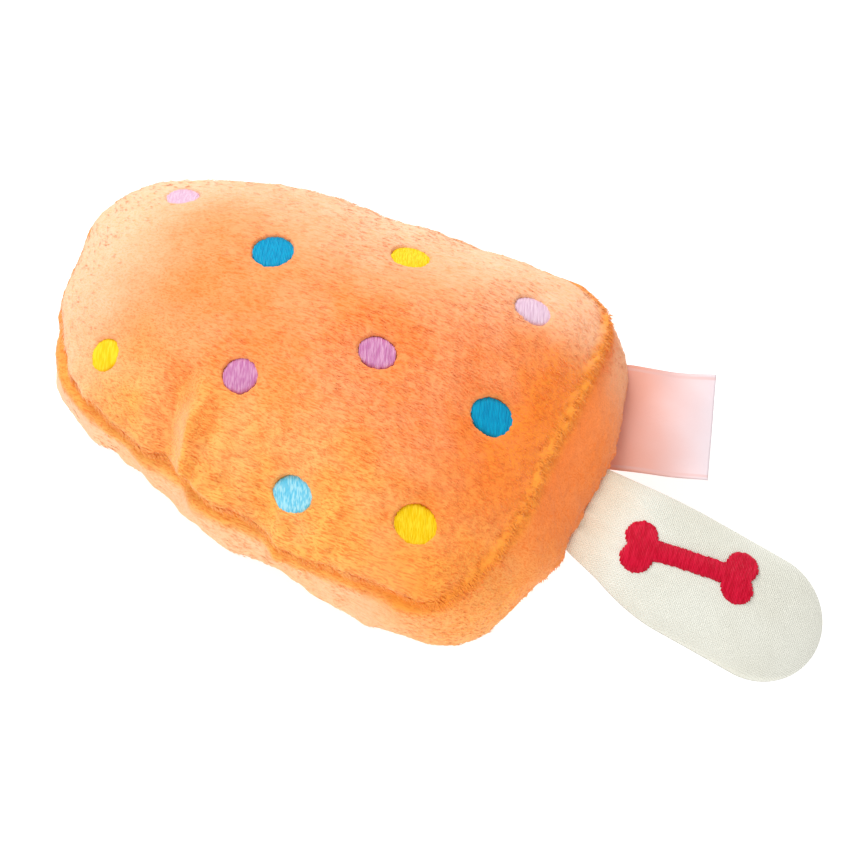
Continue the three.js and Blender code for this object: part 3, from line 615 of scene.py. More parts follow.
@dataclass
class PlushSurface:
    """What the pile, dimples and folds add to the body's smooth form."""

    form: BodyForm
    pile: float = 0.1
    seam_depth: float = 1.5
    hole_depth: float = 2.0
    seam_spread: float = 1.5
    dimple_depth: float = 1.5
    dimple_spread: float = 9.0
    nap_turn: float = math.radians(6)

    def __post_init__(self) -> None:
        """Sets up the noises and the middles of the dots."""
        self.noise = ClothNoise(7)
        self.tufts = ClothNoise(19)
        plans = np.array([dot.plan(self.form) for dot in DOTS])
        self.centres = np.column_stack([plans, self.form.front_height(plans)])
        self.sizes = np.array([(*dot.radii, sum(dot.radii) / 2) for dot in DOTS])

    def napped(self, points: np.ndarray) -> np.ndarray:
        """Turns points so that the first axis runs along the nap."""
        c, s = math.cos(self.nap_turn), math.sin(self.nap_turn)
        x, y, z = points[..., 0], points[..., 1], points[..., 2]
        return np.stack([c * x + s * y, c * y - s * x, z], -1)

    def dimples(self, points: np.ndarray) -> np.ndarray:
        """How far the embroidery draws the skin in round each dot."""
        total = np.zeros(points.shape[:-1])
        for centre in self.centres:
            apart = np.linalg.norm(points - centre, axis=-1)
            total -= self.dimple_depth * np.exp(-((apart / self.dimple_spread) ** 2))
        return total

    def carrier(self) -> BVHTree:
        """The front without its pile, which the embroidery is sewn down on."""
        grid = np.array([self.form.front_ring(share)[::4] for share in np.linspace(0.02, 1, 80)])
        lift = self.pile + self.folds(grid) + self.dimples(grid)
        points = grid + self.form.swelling(grid) * lift[..., None]
        faces = grid_faces(len(grid), grid.shape[1], False)
        return BVHTree.FromPolygons(points.reshape(-1, 3).tolist(), faces.tolist())

    def holes(self, points: np.ndarray) -> np.ndarray:
        """How far the pile is missing under each dot."""
        total = np.zeros(points.shape[:-1])
        ragged = 0.06 * self.tufts.at(points, (0.9, 0.9, 0.9))
        for centre, size in zip(self.centres, self.sizes):
            apart = np.linalg.norm((points - centre) / size, axis=-1)
            total -= self.hole_depth * (1 - smooth(apart + ragged, 0.94, 1.1))
        return total

    def folds(self, points: np.ndarray) -> np.ndarray:
        """What the folds and the loose lumps of the stuffing add."""
        total = sum(fold.lift(points + SHIFT) for fold in FOLDS)
        lumpy = 0.22 + 0.2 * smooth(points[..., 2], 38, 52)
        total = total + lumpy * self.noise.at(points, (17, 15, 13))
        return total + 0.12 * self.noise.at(points + 40, (7, 6, 6))

    def under(self, points: np.ndarray) -> np.ndarray:
        """Points below the plush, moved inwards where a fold presses on them."""
        pressed = np.minimum(0, sum(fold.lift(points + SHIFT + [0, 0, 3]) for fold in FOLDS))
        return points + 1.3 * pressed[..., None] * self.form.swelling(points)

    def wrinkles(self, points: np.ndarray, seam_gap: np.ndarray) -> np.ndarray:
        """Short puckers that run away from a seam, strongest on the near side and the dome.

        Args:
            points: Places on the smooth form.
            seam_gap: The distance of each place from the seam.

        Returns:
            How far the puckers lift each place.
        """
        x, y = points[..., 0], points[..., 1]
        slack = 0.25 + 0.75 * smooth(-y, 5, 40) * smooth(-x, 20, 60)
        pucker = self.noise.at(points * [1, 1, 0.25] + 90, (3.6, 3.6, 5))
        return 0.4 * slack * pucker * np.exp(-((seam_gap / 7) ** 2)) * smooth(seam_gap, 0, 1.5)

    def firmness(self, points: np.ndarray) -> np.ndarray:
        """How tight a seam is pulled: firm along the near side, soft over the stick end."""
        near = smooth(-points[..., 1], 5, 42)
        end = smooth(points[..., 0], -14, -3)
        return (0.5 + 0.5 * near) * (1 - 0.85 * end)

    def nap(self, points: np.ndarray) -> np.ndarray:
        """The pile itself: tufts that lie along the nap."""
        lying = self.napped(points)
        coarse = self.tufts.at(lying, (3.1, 1.05, 1.05))
        fine = self.tufts.at(lying + 50, (1.7, 0.62, 0.62))
        return 0.17 * coarse + 0.12 * fine

    def seam_pile(self, points: np.ndarray, seam_gap: np.ndarray) -> np.ndarray:
        """How the longer pile stands up along a seam, and fills the front one at the stick end."""
        tufty = self.tufts.at(points + 70, (1.5, 1.5, 1.5))
        tufty = tufty + 0.8 * self.tufts.at(points + 20, (3.2, 3.2, 2.2))
        ends = 0.3 + 0.4 * smooth(points[..., 0], -14, -3)
        filled = 1.1 * smooth(points[..., 0], -12, -2) * smooth(points[..., 2], 28, 34)
        ragged = ends * tufty * np.exp(-((seam_gap / 2.8) ** 2))
        return ragged + filled * np.exp(-((seam_gap / 1.7) ** 2))

    def dressed(self, points: np.ndarray, seam_gap: np.ndarray, on_front: bool) -> np.ndarray:
        """Moves points of the smooth form out to the plush surface.

        Args:
            points: Places on the smooth form.
            seam_gap: The distance of each place from its nearest seam.
            on_front: Whether the dots' dimples and holes apply.

        Returns:
            The places on the plush.
        """
        out = self.form.swelling(points)
        edge = np.exp(-((seam_gap / self.seam_spread) ** 2))
        firm = self.firmness(points)
        lift = self.pile - (self.pile + self.seam_depth) * firm * edge
        lift = lift + 0.6 * firm * np.exp(-(((seam_gap - 3.6) / 2.4) ** 2)) * (1 - edge)
        lift = lift + self.folds(points) * (1 - 0.5 * edge)
        lift = lift + self.wrinkles(points, seam_gap)
        lift = lift + self.nap(points)
        lift = lift + self.seam_pile(points, seam_gap)
        lift = lift + self.dimples(points)
        if on_front:
            lift = lift + self.holes(points)
        else:
            lift = lift * smooth(points[..., 2], -0.5, 4)
        return points + out * lift[..., None]


@dataclass
class PileTufts:
    """Pointed tufts of longer pile that stand a little out of a plush skin and lean one way.

    Attributes:
        surface: The plush that they grow from.
        lie: The way that they lie over the open plush.
        over_seam: How far they turn towards the seam beside it, from 0 to 1.
        length: How long a middling tuft is, in millimetres.
        width: Half its width at its widest, in millimetres.
        crowding: How many more grow at a seam than away from it.
        crowded_within: How far from a seam they are crowded, in millimetres.
        wander: How far each one strays from the common lie, in radians.
    """

    surface: PlushSurface
    lie: tuple[float, float, float]
    over_seam: float = 0.0
    length: float = 2.1
    width: float = 0.17
    crowding: float = 3
    crowded_within: float = 2.5
    wander: float = 0.8

    def grow(self, name: str, grid: np.ndarray, gap: np.ndarray, count: int, seed: int) -> Object:
        """Plants the tufts, closer together near the seams and none over the dots.

        Args:
            name: The name of the tufts.
            grid: The skin's outer rings, in millimetres.
            gap: The distance of each point of the grid from its nearest seam.
            count: How many tufts to try.
            seed: Starts the chance that scatters them.

        Returns:
            The tufts, still to be joined to their skin.
        """
        chance = np.random.default_rng(seed)
        start = grid[:-1]
        down = grid[1:] - start
        along = np.roll(grid, -1, axis=1)[:-1] - start
        area = np.linalg.norm(np.cross(down, along), axis=-1)
        crowded = np.exp(-((gap[:-1] / self.crowded_within) ** 2))
        weight = (area * (1 + self.crowding * crowded)).ravel()
        cell = chance.choice(len(weight), count, p=weight / weight.sum())
        u, v, size, turn, rise = chance.random((5, count, 1))
        down, along = down.reshape(-1, 3)[cell], along.reshape(-1, 3)[cell]
        place = start.reshape(-1, 3)[cell] + u * down + v * along
        out = unit(self.surface.form.swelling(place))
        near_seam = self.over_seam * smooth(gap[:-1].reshape(-1, 1)[cell], 5, 0)
        near_seam = near_seam * (0.3 + 0.7 * smooth(place[:, :1], -135, -105))
        lean = (1 - near_seam) * np.array(self.lie) + near_seam * unit(down)
        lean = unit(lean - (lean * out).sum(-1, keepdims=True) * out)
        lean = unit(lean + (turn - 0.5) * self.wander * np.cross(out, lean))
        reach = self.length * (0.65 + 0.55 * size) * (1 + 0.7 * near_seam)
        stand = 0.35 + 0.95 * smooth(place[:, :1], -140, -100)
        tip = place + reach * lean + stand * (0.02 + 0.22 * rise + 0.5 * near_seam) * out
        free = (self.surface.holes(place) > -0.1) & (self.surface.holes(tip) > -0.1)
        free &= chance.random(count) < 0.2 + 0.8 * smooth(place[:, 0], -138, -108)
        middle = place + 0.3 * reach * lean + stand * (0.12 + 0.3 * near_seam) * out
        root = place - 0.35 * stand * out - 0.1 * reach * lean
        side = np.cross(out, lean)
        return self._blades(name, root[free], middle[free], tip[free], out[free], side[free])

    def _blades(
        self,
        name: str,
        root: np.ndarray,
        middle: np.ndarray,
        tip: np.ndarray,
        out: np.ndarray,
        side: np.ndarray,
    ) -> Object:
        """Models each tuft as a thin blade, three-sided at its middle and pointed at both ends.

        Args:
            name: The name of the tufts.
            root: Where each one starts, inside the skin.
            middle: Where each one is widest.
            tip: Where each one ends.
            out: The way out of the skin at each one.
            side: The way across each one.

        Returns:
            One object with all the blades, flat shaded.
        """
        edge = self.width * side
        corners = [middle + 0.06 * out, middle - edge - 0.03 * out, middle + edge - 0.03 * out]
        points = np.stack([root, *corners, tip], 1)
        one = np.array([(0, 2, 1), (0, 3, 2), (0, 1, 3), (4, 1, 2), (4, 2, 3), (4, 3, 1)])
        faces = one[None] + points.shape[1] * np.arange(len(points))[:, None, None]
        piece = plain_object(name, points.reshape(-1, 3) + SHIFT, faces.reshape(-1, 3).tolist())
        if signed_volume(piece.data) < 0:
            piece.data.flip_normals()
        piece.data.shade_flat()
        return piece


@dataclass
class StickForm:
    """The soft stick as it lies, in millimetres, from the line where it leaves the body."""

    length: float = 71.4
    width: float = 36.4
    root_width: float = 26
    widening: float = 30
    thickness: float = 13
    flat_root: float = 16
    drop: float = 14
    drop_power: float = 1.3
    sideways: float = -3.6
    root_thin_share: float = 0.4
    pillow_power: float = 2.6
    pillow_fullness: float = 0.6
    hinge_x: float = 17.234
    hinge_z: float = 23
    turns: int = 420

    def __post_init__(self) -> None:
        """Works out the outline once."""
        tip = self.width / 2
        straight = self.length - tip
        along = np.linspace(0, straight, 200)
        side = np.stack([along, self.half_width(along)], 1)
        turn = np.linspace(0, np.pi / 2, 100)[1:]
        side = np.vstack([side, np.stack([straight + tip * np.sin(turn), tip * np.cos(turn)], 1)])
        path = np.vstack([side[:-1] * [1, -1], side[::-1]])
        path = np.vstack([path, path[:1]])
        run = np.r_[0, np.cumsum(np.hypot(*np.diff(path, axis=0).T))]
        steps = np.linspace(0, run[-1], self.turns, endpoint=False)
        self.outline = np.stack([np.interp(steps, run, path[:, k]) for k in (0, 1)], 1)
        tangent = unit(np.roll(self.outline, -1, 0) - np.roll(self.outline, 1, 0))
        self.outward = np.stack([tangent[:, 1], -tangent[:, 0]], 1)
        self.middle = np.array([self.length / 2, 0.0])

    def spread(self, along: np.ndarray) -> np.ndarray:
        """How far the stick has widened, from 0 at its root to 1."""
        return np.sin(np.pi / 2 * np.clip(along / self.widening, 0, 1))

    def half_width(self, along: np.ndarray) -> np.ndarray:
        """Half the stick's width at a distance along it."""
        return (self.root_width + (self.width - self.root_width) * self.spread(along)) / 2

    def place(self, along: np.ndarray, across: np.ndarray, above: np.ndarray) -> np.ndarray:
        """Bends the straight stick as it lies.

        Args:
            along: Distance from the root.
            across: Distance from the middle line.
            above: Height over the stick's middle layer.

        Returns:
            The places, measured as the body's are.
        """
        reach = np.clip(along / self.length, 0, 1)
        thin = self.root_thin_share + (1 - self.root_thin_share) * smooth(along, 0, self.flat_root)
        droop = self.drop * reach**self.drop_power
        x = self.hinge_x + along
        y = across + self.sideways * self.spread(along)
        return np.stack([x, y, self.hinge_z - droop + above * thin], -1)

    def crown(self, share: np.ndarray, half: float) -> np.ndarray:
        """Height of the pillow at a share of the way from its middle to its edge."""
        return half * np.maximum(0, 1 - share**self.pillow_power) ** self.pillow_fullness

    def share_at(self, plan: np.ndarray) -> np.ndarray:
        """How far places are from the stick's middle, as a share of the way to its edge."""
        ray = self.outline - self.middle
        angle = np.arctan2(ray[:, 1], ray[:, 0])
        order = np.argsort(angle)
        away = plan - self.middle
        turn = np.arctan2(away[..., 1], away[..., 0])
        reach = np.interp(turn, angle[order], np.hypot(*ray.T)[order], period=2 * np.pi)
        return np.clip(np.hypot(away[..., 0], away[..., 1]) / reach, 0, 1)


# ---------------------------------------------------------------------------
# Materials


class NodeBoard:
    """Adds nodes to one tree and links them, each from its inputs' values or sockets."""

    def __init__(self, tree: NodeTree) -> None:
        """Keeps the tree and starts it empty."""
        self.tree = tree
        tree.nodes.clear()
        self.column = 0

    def add(self, kind: str, inputs: dict | None = None, **settings: object) -> Node:
        """Adds one node.

        Args:
            kind: The node's type.
            inputs: Values or output sockets, by input name or number.
            settings: Plain attributes of the node.

        Returns:
            The new node.
        """
        node = self.tree.nodes.new(kind)
        node.location = (self.column * 190, 0)
        self.column += 1
        for name, value in settings.items():
            setattr(node, name, value)
        for key, value in (inputs or {}).items():
            if isinstance(value, NodeSocket):
                self.tree.links.new(value, node.inputs[key])
            else:
                node.inputs[key].default_value = value
        return node

    def math(self, operation: str, a: object, b: object = 0.0, clamp: bool = False) -> NodeSocket:
        """A sum of two values or sockets, as an output socket."""
        node = self.add("ShaderNodeMath", {0: a, 1: b}, operation=operation, use_clamp=clamp)
        return node.outputs[0]

    def mix(self, factor: object, a: object, b: object) -> NodeSocket:
        """A colour between a and b, as an output socket."""
        inputs = {0: factor, 6: a, 7: b}
        return self.add("ShaderNodeMix", inputs, data_type="RGBA").outputs[2]

    def ramp(
        self, value: object, low: float, high: float, start: float = 0.0, end: float = 1.0
    ) -> NodeSocket:
        """A soft step of a value from start at low to end at high, as an output socket."""
        inputs = {"Value": value, "From Min": low, "From Max": high, "To Min": start, "To Max": end}
        return self.add("ShaderNodeMapRange", inputs, interpolation_type="SMOOTHSTEP").outputs[0]

    def noise(
        self, vector: object, scale: float, detail: float = 2.0, rough: float = 0.5
    ) -> NodeSocket:
        """Noise at points, as an output socket from 0 to 1."""
        inputs = {"Vector": vector, "Scale": scale, "Detail": detail, "Roughness": rough}
        return self.add("ShaderNodeTexNoise", inputs).outputs[0]

    def stretched(
        self, vector: object, scale: tuple[float, float, float], turn: float = 0.0
    ) -> NodeSocket:
        """Points turned about the vertical and scaled along each axis, as an output socket."""
        if turn:
            inputs = {"Vector": vector, "Rotation": (0, 0, turn)}
            vector = self.add("ShaderNodeMapping", inputs, vector_type="POINT").outputs[0]
        inputs = {"Vector": vector, "Scale": scale}
        return self.add("ShaderNodeMapping", inputs, vector_type="POINT").outputs[0]

    def surface(self, inputs: dict) -> None:
        """Adds the material's one shader, with its inputs, and its output."""
        shader = self.add("ShaderNodeBsdfPrincipled", inputs)
        self.add("ShaderNodeOutputMaterial", {0: shader.outputs[0]})


def new_material(name: str) -> tuple[Material, NodeBoard, NodeSocket]:
    """Makes an empty material.

    Args:
        name: The material's name.

    Returns:
        The material, the board for its nodes, and its Object coordinates.
    """
    material = bpy.data.materials.new(name)
    material.use_nodes = True
    board = NodeBoard(material.node_tree)
    return material, board, board.add("ShaderNodeTexCoord").outputs["Object"]


def shared_group(name: str, outputs: tuple[str, ...]) -> tuple[NodeTree, bool]:
    """A node group that reads a vector and gives values, made once.

    Args:
        name: The group's name.
        outputs: The names of its outputs.

    Returns:
        The group, and whether it still has to be filled.
    """
    if name in bpy.data.node_groups:
        return bpy.data.node_groups[name], False
    tree = bpy.data.node_groups.new(name, "ShaderNodeTree")
    tree.interface.new_socket("Vector", in_out="INPUT", socket_type="NodeSocketVector")
    for output in outputs:
        tree.interface.new_socket(output, in_out="OUTPUT", socket_type="NodeSocketFloat")
    return tree, True


def pile_group() -> NodeTree:
    """Short strokes of lying pile: how light each stroke is, and how high it stands."""
    tree, empty = shared_group("lying pile", ("Stroke", "Height", "Patch"))
    if empty:
        board = NodeBoard(tree)
        points = board.add("NodeGroupInput").outputs[0]
        turn = math.radians(-6)
        long_strokes = board.noise(board.stretched(points, (0.3, 2.0, 2.0), turn), 1000, 2.0, 0.55)
        short_strokes = board.noise(board.stretched(points, (0.75, 3.6, 3.6), turn), 1000, 1.0)
        shares = (board.math("MULTIPLY", long_strokes, 0.62), board.math("MULTIPLY", short_strokes, 0.38))
        both = board.math("ADD", *shares)
        stroke = board.ramp(both, 0.38, 0.54)
        patch = board.ramp(board.noise(points, 62, 2.0, 0.55), 0.36, 0.66)
        board.add("NodeGroupOutput", {0: stroke, 1: both, 2: patch})
    return tree


def weave_group() -> NodeTree:
    """A fine plain weave: the height of its crossing yarns, and how open each gap is."""
    tree, empty = shared_group("fine weave", ("Height", "Gap"))
    if empty:
        board = NodeBoard(tree)
        points = board.add("NodeGroupInput").outputs[0]
        drift = board.add("ShaderNodeTexNoise", {"Vector": points, "Scale": 210.0, "Detail": 1.0}).outputs[1]
        small = board.add("ShaderNodeVectorMath", {0: drift, 3: 0.0007}, operation="SCALE")
        moved = board.add("ShaderNodeVectorMath", {0: points, 1: small.outputs[0]}, operation="ADD")
        turned = board.stretched(moved.outputs[0], (1, 1, 1), math.radians(38))
        split = board.add("ShaderNodeSeparateXYZ", {0: turned})
        waves = [board.math("MULTIPLY", split.outputs[k], 2 * math.pi / YARN_PITCH) for k in (0, 1)]
        lines = [board.math("SINE", wave) for wave in waves]
        crossing = board.math("MULTIPLY", lines[0], lines[1])
        height = board.ramp(crossing, -1.0, 1.0)
        gap = board.ramp(board.math("MINIMUM", lines[0], lines[1]), 0.25, 0.95)
        board.add("NodeGroupOutput", {0: height, 1: gap})
    return tree


@dataclass(frozen=True)
class PlushFinish:
    """Short-pile plush: painted sheen and random patches paler towards the far side and the dome, dark
    strokes of deeper roots and painted shade, brushed patches deepened with painted shade, painted bounce
    light on the near side and in the front seam, and a soft sheen.
    """

    name: str
    base: tuple[float, float, float] = (0.98, 0.318, 0.092)
    # painted sheen: the paler tone towards the far side and the dome
    painted_sheen_tone: tuple[float, float, float] = (1.0, 0.68, 0.475)
    # the deeper root colour, also the painted shade of the dark strokes between the tufts
    root_and_shade: tuple[float, float, float] = (0.9, 0.19, 0.03)
    pale_root_and_shade: tuple[float, float, float] = (0.97, 0.5, 0.24)
    # painted bounce light: a brighter, saturated orange in the front seam
    seam_bounce: tuple[float, float, float] = (1.0, 0.34, 0.04)
    # brushed nap at the stick end, deepened with painted shade
    brushed_shade: tuple[float, float, float] = (1.0, 0.262, 0.015)
    # painted bounce light: a yellower tone along the near side
    near_side_bounce: tuple[float, float, float] = (1.0, 0.485, 0.1)
    far_fade: float = 0.15
    # painted sheen on the gusset towards the dome, taken away by painted shade under the front's lip
    side_painted_sheen: float = 0.0
    sheen: float = 0.55

    def build(self) -> Material:
        """Makes the material.

        Returns:
            The plush material, which reads Object coordinates.
        """
        material, board, points = new_material(self.name)
        stroke, height, patch = board.add("ShaderNodeGroup", {0: points}, node_tree=pile_group()).outputs
        place = list(board.add("ShaderNodeSeparateXYZ", {0: points}).outputs)
        x, y, z = place
        soft_edge = board.math("MULTIPLY", board.noise(points, 130, 3.0, 0.6), 0.016)
        brushed_shade = self._brushed_shade_share(board, place, soft_edge)
        seam_height = board.math("ADD", board.math("MULTIPLY", x, 0.091), 0.037)
        under_seam = board.math("SUBTRACT", seam_height, z)
        # Painted sheen: paler towards the far side and the dome, with random paler patches.
        patches = board.math("MULTIPLY", patch, 0.16)
        painted_sheen_and_patches = board.math("ADD", self._painted_sheen_share(board, place), patches, clamp=True)
        if self.side_painted_sheen:
            # On the gusset: painted sheen towards the dome, and painted shade right under the front's lip,
            # where the paleness is taken away.
            ragged_along = board.math("ADD", x, soft_edge)
            dome_sheen = board.ramp(ragged_along, 0.05, 0.006, 0.0, self.side_painted_sheen)
            clear_of_lip_shade = board.ramp(under_seam, 0.001, 0.008)
            painted_sheen_and_patches = board.math("MULTIPLY", board.math("ADD", painted_sheen_and_patches, dome_sheen, clamp=True), clear_of_lip_shade)
        # Painted bounce light: yellower along the near side.
        near_bounce_share = board.ramp(y, -0.006, -0.045)
        plain = board.mix(near_bounce_share, (*self.base, 1), (*self.near_side_bounce, 1))
        tone = board.mix(board.math("MULTIPLY", painted_sheen_and_patches, 0.8), plain, (*self.painted_sheen_tone, 1))
        # Brushed nap at the stick end, deepened with painted shade.
        tone = board.mix(board.math("MULTIPLY", brushed_shade, 0.85), tone, (*self.brushed_shade, 1))
        # Dark strokes: the deeper roots, with painted shade between the tufts, lighter where the painted
        # sheen is.
        depth = board.math("MULTIPLY", board.math("SUBTRACT", 1.0, stroke), 0.8)
        mottle = board.ramp(board.noise(points, 260, 3.0, 0.6), 0.4, 0.62, 0.0, 0.22)
        root_and_shade = board.mix(painted_sheen_and_patches, (*self.root_and_shade, 1), (*self.pale_root_and_shade, 1))
        tone = board.mix(mottle, tone, root_and_shade)
        # Painted bounce light in the front seam: a brighter, saturated orange, strongest at the stick end,
        # which also fades the dark strokes.
        seam_bounce_share = board.ramp(board.math("ABSOLUTE", under_seam), 0.0032, 0.0006)
        seam_bounce_share = board.math("MULTIPLY", seam_bounce_share, board.ramp(x, -0.004, 0.012, 0.3, 0.95))
        tone = board.mix(seam_bounce_share, tone, (*self.seam_bounce, 1))
        off_seam = board.math("SUBTRACT", 1.0, board.math("MULTIPLY", seam_bounce_share, 0.6))
        depth = board.math("MULTIPLY", depth, off_seam)
        colour = board.mix(depth, tone, root_and_shade)
        bump = board.add("ShaderNodeBump", {"Strength": 0.75, "Distance": 0.0006, "Height": height})
        board.surface(
            {
                "Base Color": colour,
                "Roughness": board.ramp(stroke, 0, 1, 0.95, 0.75),
                "Normal": bump.outputs[0],
                "Specular IOR Level": 0.15,
                "Sheen Weight": self.sheen,
                "Sheen Roughness": 0.38,
                "Sheen Tint": (1.0, 0.82, 0.64, 1),
            }
        )
        return material

    def _brushed_shade_share(
        self, board: NodeBoard, place: list[NodeSocket], soft_edge: NodeSocket
    ) -> NodeSocket:
        """How far the pile is brushed up and deepened with painted shade at the stick end, less towards the
        sides and the floor.

        Args:
            board: The material's board.
            place: The sockets of x, y and z, in metres.
            soft_edge: A socket that makes the border ragged.

        Returns:
            A socket from 0 to 1.
        """
        x, y, z = place
        slanted = board.math("ADD", x, board.math("MULTIPLY", y, -0.2))
        ragged_x = board.math("SUBTRACT", slanted, board.math("MULTIPLY", soft_edge, 1.6))
        into_end = board.ramp(ragged_x, -0.014, 0.008)
        off_near = board.ramp(y, -0.03, 0.0, 0.45, 1.0)
        off_far = board.ramp(y, 0.026, 0.04, 1.0, self.far_fade)
        above = board.ramp(z, 0.02, 0.045, 0.35, 1.0)
        at_end = board.math("MULTIPLY", into_end, off_near)
        return board.math("MULTIPLY", at_end, board.math("MULTIPLY", off_far, above))

    def _painted_sheen_share(self, board: NodeBoard, place: list[NodeSocket]) -> NodeSocket:
        """How far painted sheen pales the pile, towards the far side and the dome, as a socket from 0 to 1.
        """
        far = board.ramp(place[1], 0.012, 0.052, 0.0, 0.85)
        return board.math("ADD", far, board.ramp(place[0], -0.076, -0.118, 0.0, 1.0), clamp=True)


@dataclass(frozen=True)
class ThreadFinish:
    """Shiny embroidery or sewing thread, with finer filaments in it and painted glints."""

    name: str
    base: tuple[float, float, float]
    # The glint: a lighter colour painted on the threads that catch the light.
    glint: tuple[float, float, float]
    turn: float = 0.0
    roughness: float = 0.38

    def build(self) -> Material:
        """Makes the material, with painted glints that vary from thread to thread.

        Returns:
            The thread material.
        """
        material, board, points = new_material(self.name)
        threads = board.noise(board.stretched(points, (2.1, 0.3, 1.0), self.turn), 1000, 1.0)
        filaments = board.noise(board.stretched(points, (7.0, 0.8, 4.0), self.turn), 1000, 1.0)
        # Painted glints: the lighter threads mixed towards the glint colour.
        light = board.ramp(threads, 0.35, 0.68)
        colour = board.mix(board.math("MULTIPLY", light, 0.6), (*self.base, 1), (*self.glint, 1))
        bump = board.add("ShaderNodeBump", {"Strength": 0.35, "Distance": 0.00015, "Height": filaments})
        board.surface(
            {
                "Base Color": colour,
                "Roughness": board.ramp(filaments, 0.3, 0.7, self.roughness - 0.06, self.roughness + 0.14),
                "Normal": bump.outputs[0],
                "Specular IOR Level": 0.14,
            }
        )
        return material


@dataclass(frozen=True)
class WovenFinish:
    """Fine woven cloth of the stick."""

    name: str
    base: tuple[float, float, float] = (0.81, 0.81, 0.72)
    # The darker tone: soft stains, and the painted shade in the weave's gaps.
    shade: tuple[float, float, float] = (0.6, 0.56, 0.42)
    # Painted reflection of the orange plush, warming the cloth at its root.
    plush_bounce_tint: tuple[float, float, float] = (0.82, 0.6, 0.4)

    def build(self) -> Material:
        """Makes the material, a weave with small open gaps darkened with painted shade, soft stains of tone,
        and a painted warm reflection of the plush at the root.

        Returns:
            The woven material.
        """
        material, board, points = new_material(self.name)
        height, gap = board.add("ShaderNodeGroup", {0: points}, node_tree=weave_group()).outputs
        soft = board.ramp(board.noise(points, 45, 3.0), 0.3, 0.7, 0.0, 0.22)
        tone = board.mix(soft, (*self.base, 1), (*self.shade, 1))
        x = board.add("ShaderNodeSeparateXYZ", {0: points}).outputs[0]
        # Painted reflection of the orange plush, warm towards the root.
        tone = board.mix(board.ramp(x, 0.062, 0.047, 0.0, 0.55), tone, (*self.plush_bounce_tint, 1))
        # Painted shade in the weave's gaps, stronger towards the root.
        gap_shade_near_root = board.ramp(x, 0.105, 0.06, 0.34, 0.62)
        colour = board.mix(board.math("MULTIPLY", gap, gap_shade_near_root), tone, (*self.shade, 1))
        bump = board.add("ShaderNodeBump", {"Strength": 0.6, "Distance": 0.0003, "Height": height})
        board.surface(
            {
                "Base Color": colour,
                "Roughness": board.ramp(height, 0, 1, 0.85, 0.65),
                "Normal": bump.outputs[0],
                "Specular IOR Level": 0.25,
                "Sheen Weight": 0.25,
                "Sheen Roughness": 0.4,
            }
        )
        return material


@dataclass(frozen=True)
class RibbonFinish:
    """Satin ribbon of the label, with a painted warm reflection of the plush where it leaves it, and a line
    along each selvedge.
    """

    name: str
    # Painted reflection of the orange plush where the ribbon leaves the body.
    plush_reflection: tuple[float, float, float] = (0.78, 0.35, 0.26)
    free_edge: tuple[float, float, float] = (0.78, 0.67, 0.71)
    selvedge: tuple[float, float, float] = (0.74, 0.46, 0.43)
    outward_turn: float = math.radians(21)
    middle_at: float = 0.0134
    half_width: float = 0.016
    line_inside: float = 0.0012

    def build(self) -> Material:
        """Makes the material.

        Returns:
            The ribbon material, with fine ribs across it.
        """
        material, board, points = new_material(self.name)
        turned = board.stretched(points, (1, 1, 1), -self.outward_turn)
        x, y, _ = board.add("ShaderNodeSeparateXYZ", {0: turned}).outputs
        uneven = board.math("MULTIPLY", board.noise(points, 70, 2.0), 0.008)
        # Painted reflection of the plush near the body, fading to the ribbon's own pale tone at its free
        # edge.
        colour = board.mix(
            board.ramp(board.math("ADD", x, uneven), 0.055, 0.083), (*self.plush_reflection, 1), (*self.free_edge, 1)
        )
        off_middle = board.math("ABSOLUTE", board.math("SUBTRACT", y, self.middle_at))
        from_edge = board.math("SUBTRACT", self.half_width, off_middle)
        off_line = board.math("ABSOLUTE", board.math("SUBTRACT", from_edge, self.line_inside))
        woven_edge = board.ramp(off_line, 0.0006, 0.0002, 0.0, 0.55)
        colour = board.mix(woven_edge, colour, (*self.selvedge, 1))
        ribs = board.math("SINE", board.math("MULTIPLY", y, 2 * math.pi / RIB_PITCH))
        fine = board.math("ADD", board.math("MULTIPLY", ribs, 0.3), board.noise(points, 1500, 1.0))
        bump = board.add("ShaderNodeBump", {"Strength": 0.25, "Distance": 0.0001, "Height": fine})
        board.surface(
            {
                "Base Color": colour,
                "Roughness": board.ramp(fine, 0, 1, 0.42, 0.6),
                "Normal": bump.outputs[0],
                "Sheen Weight": 0.2,
                "Sheen Roughness": 0.3,
            }
        )
        return material


@dataclass(frozen=True)
class FibreFinish:
    """Loose fibre, felted sheet or matt plastic: two tones, a grain and a roughness."""

    name: str
    light: tuple[float, float, float]
    dark: tuple[float, float, float]
    grain: float
    depth: float
    roughness: float = 0.9
    sheen: float = 0.3
    scatter: float = 0.0

    def build(self) -> Material:
        """Makes the material.

        Returns:
            The grained material.
        """
        material, board, points = new_material(self.name)
        grain = board.noise(points, self.grain, 4.0, 0.65)
        cloud = board.noise(points, self.grain / 9, 2.0)
        both = board.math("ADD", board.math("MULTIPLY", grain, 0.6), board.math("MULTIPLY", cloud, 0.4))
        tone = board.ramp(both, 0.35, 0.65)
        bump = board.add("ShaderNodeBump", {"Strength": 0.5, "Distance": self.depth, "Height": grain})
        board.surface(
            {
                "Base Color": board.mix(tone, (*self.dark, 1), (*self.light, 1)),
                "Roughness": board.ramp(grain, 0.3, 0.7, self.roughness, self.roughness - 0.1),
                "Normal": bump.outputs[0],
                "Sheen Weight": self.sheen,
                "Subsurface Weight": self.scatter,
                "Subsurface Radius": (0.004, 0.004, 0.004),
            }
        )
        return material


def dress(piece: Object, material: Material) -> None:
    """Gives a piece its one material."""
    piece.data.materials.clear()
    piece.data.materials.append(material)


# ---------------------------------------------------------------------------
# Sub-assemblies


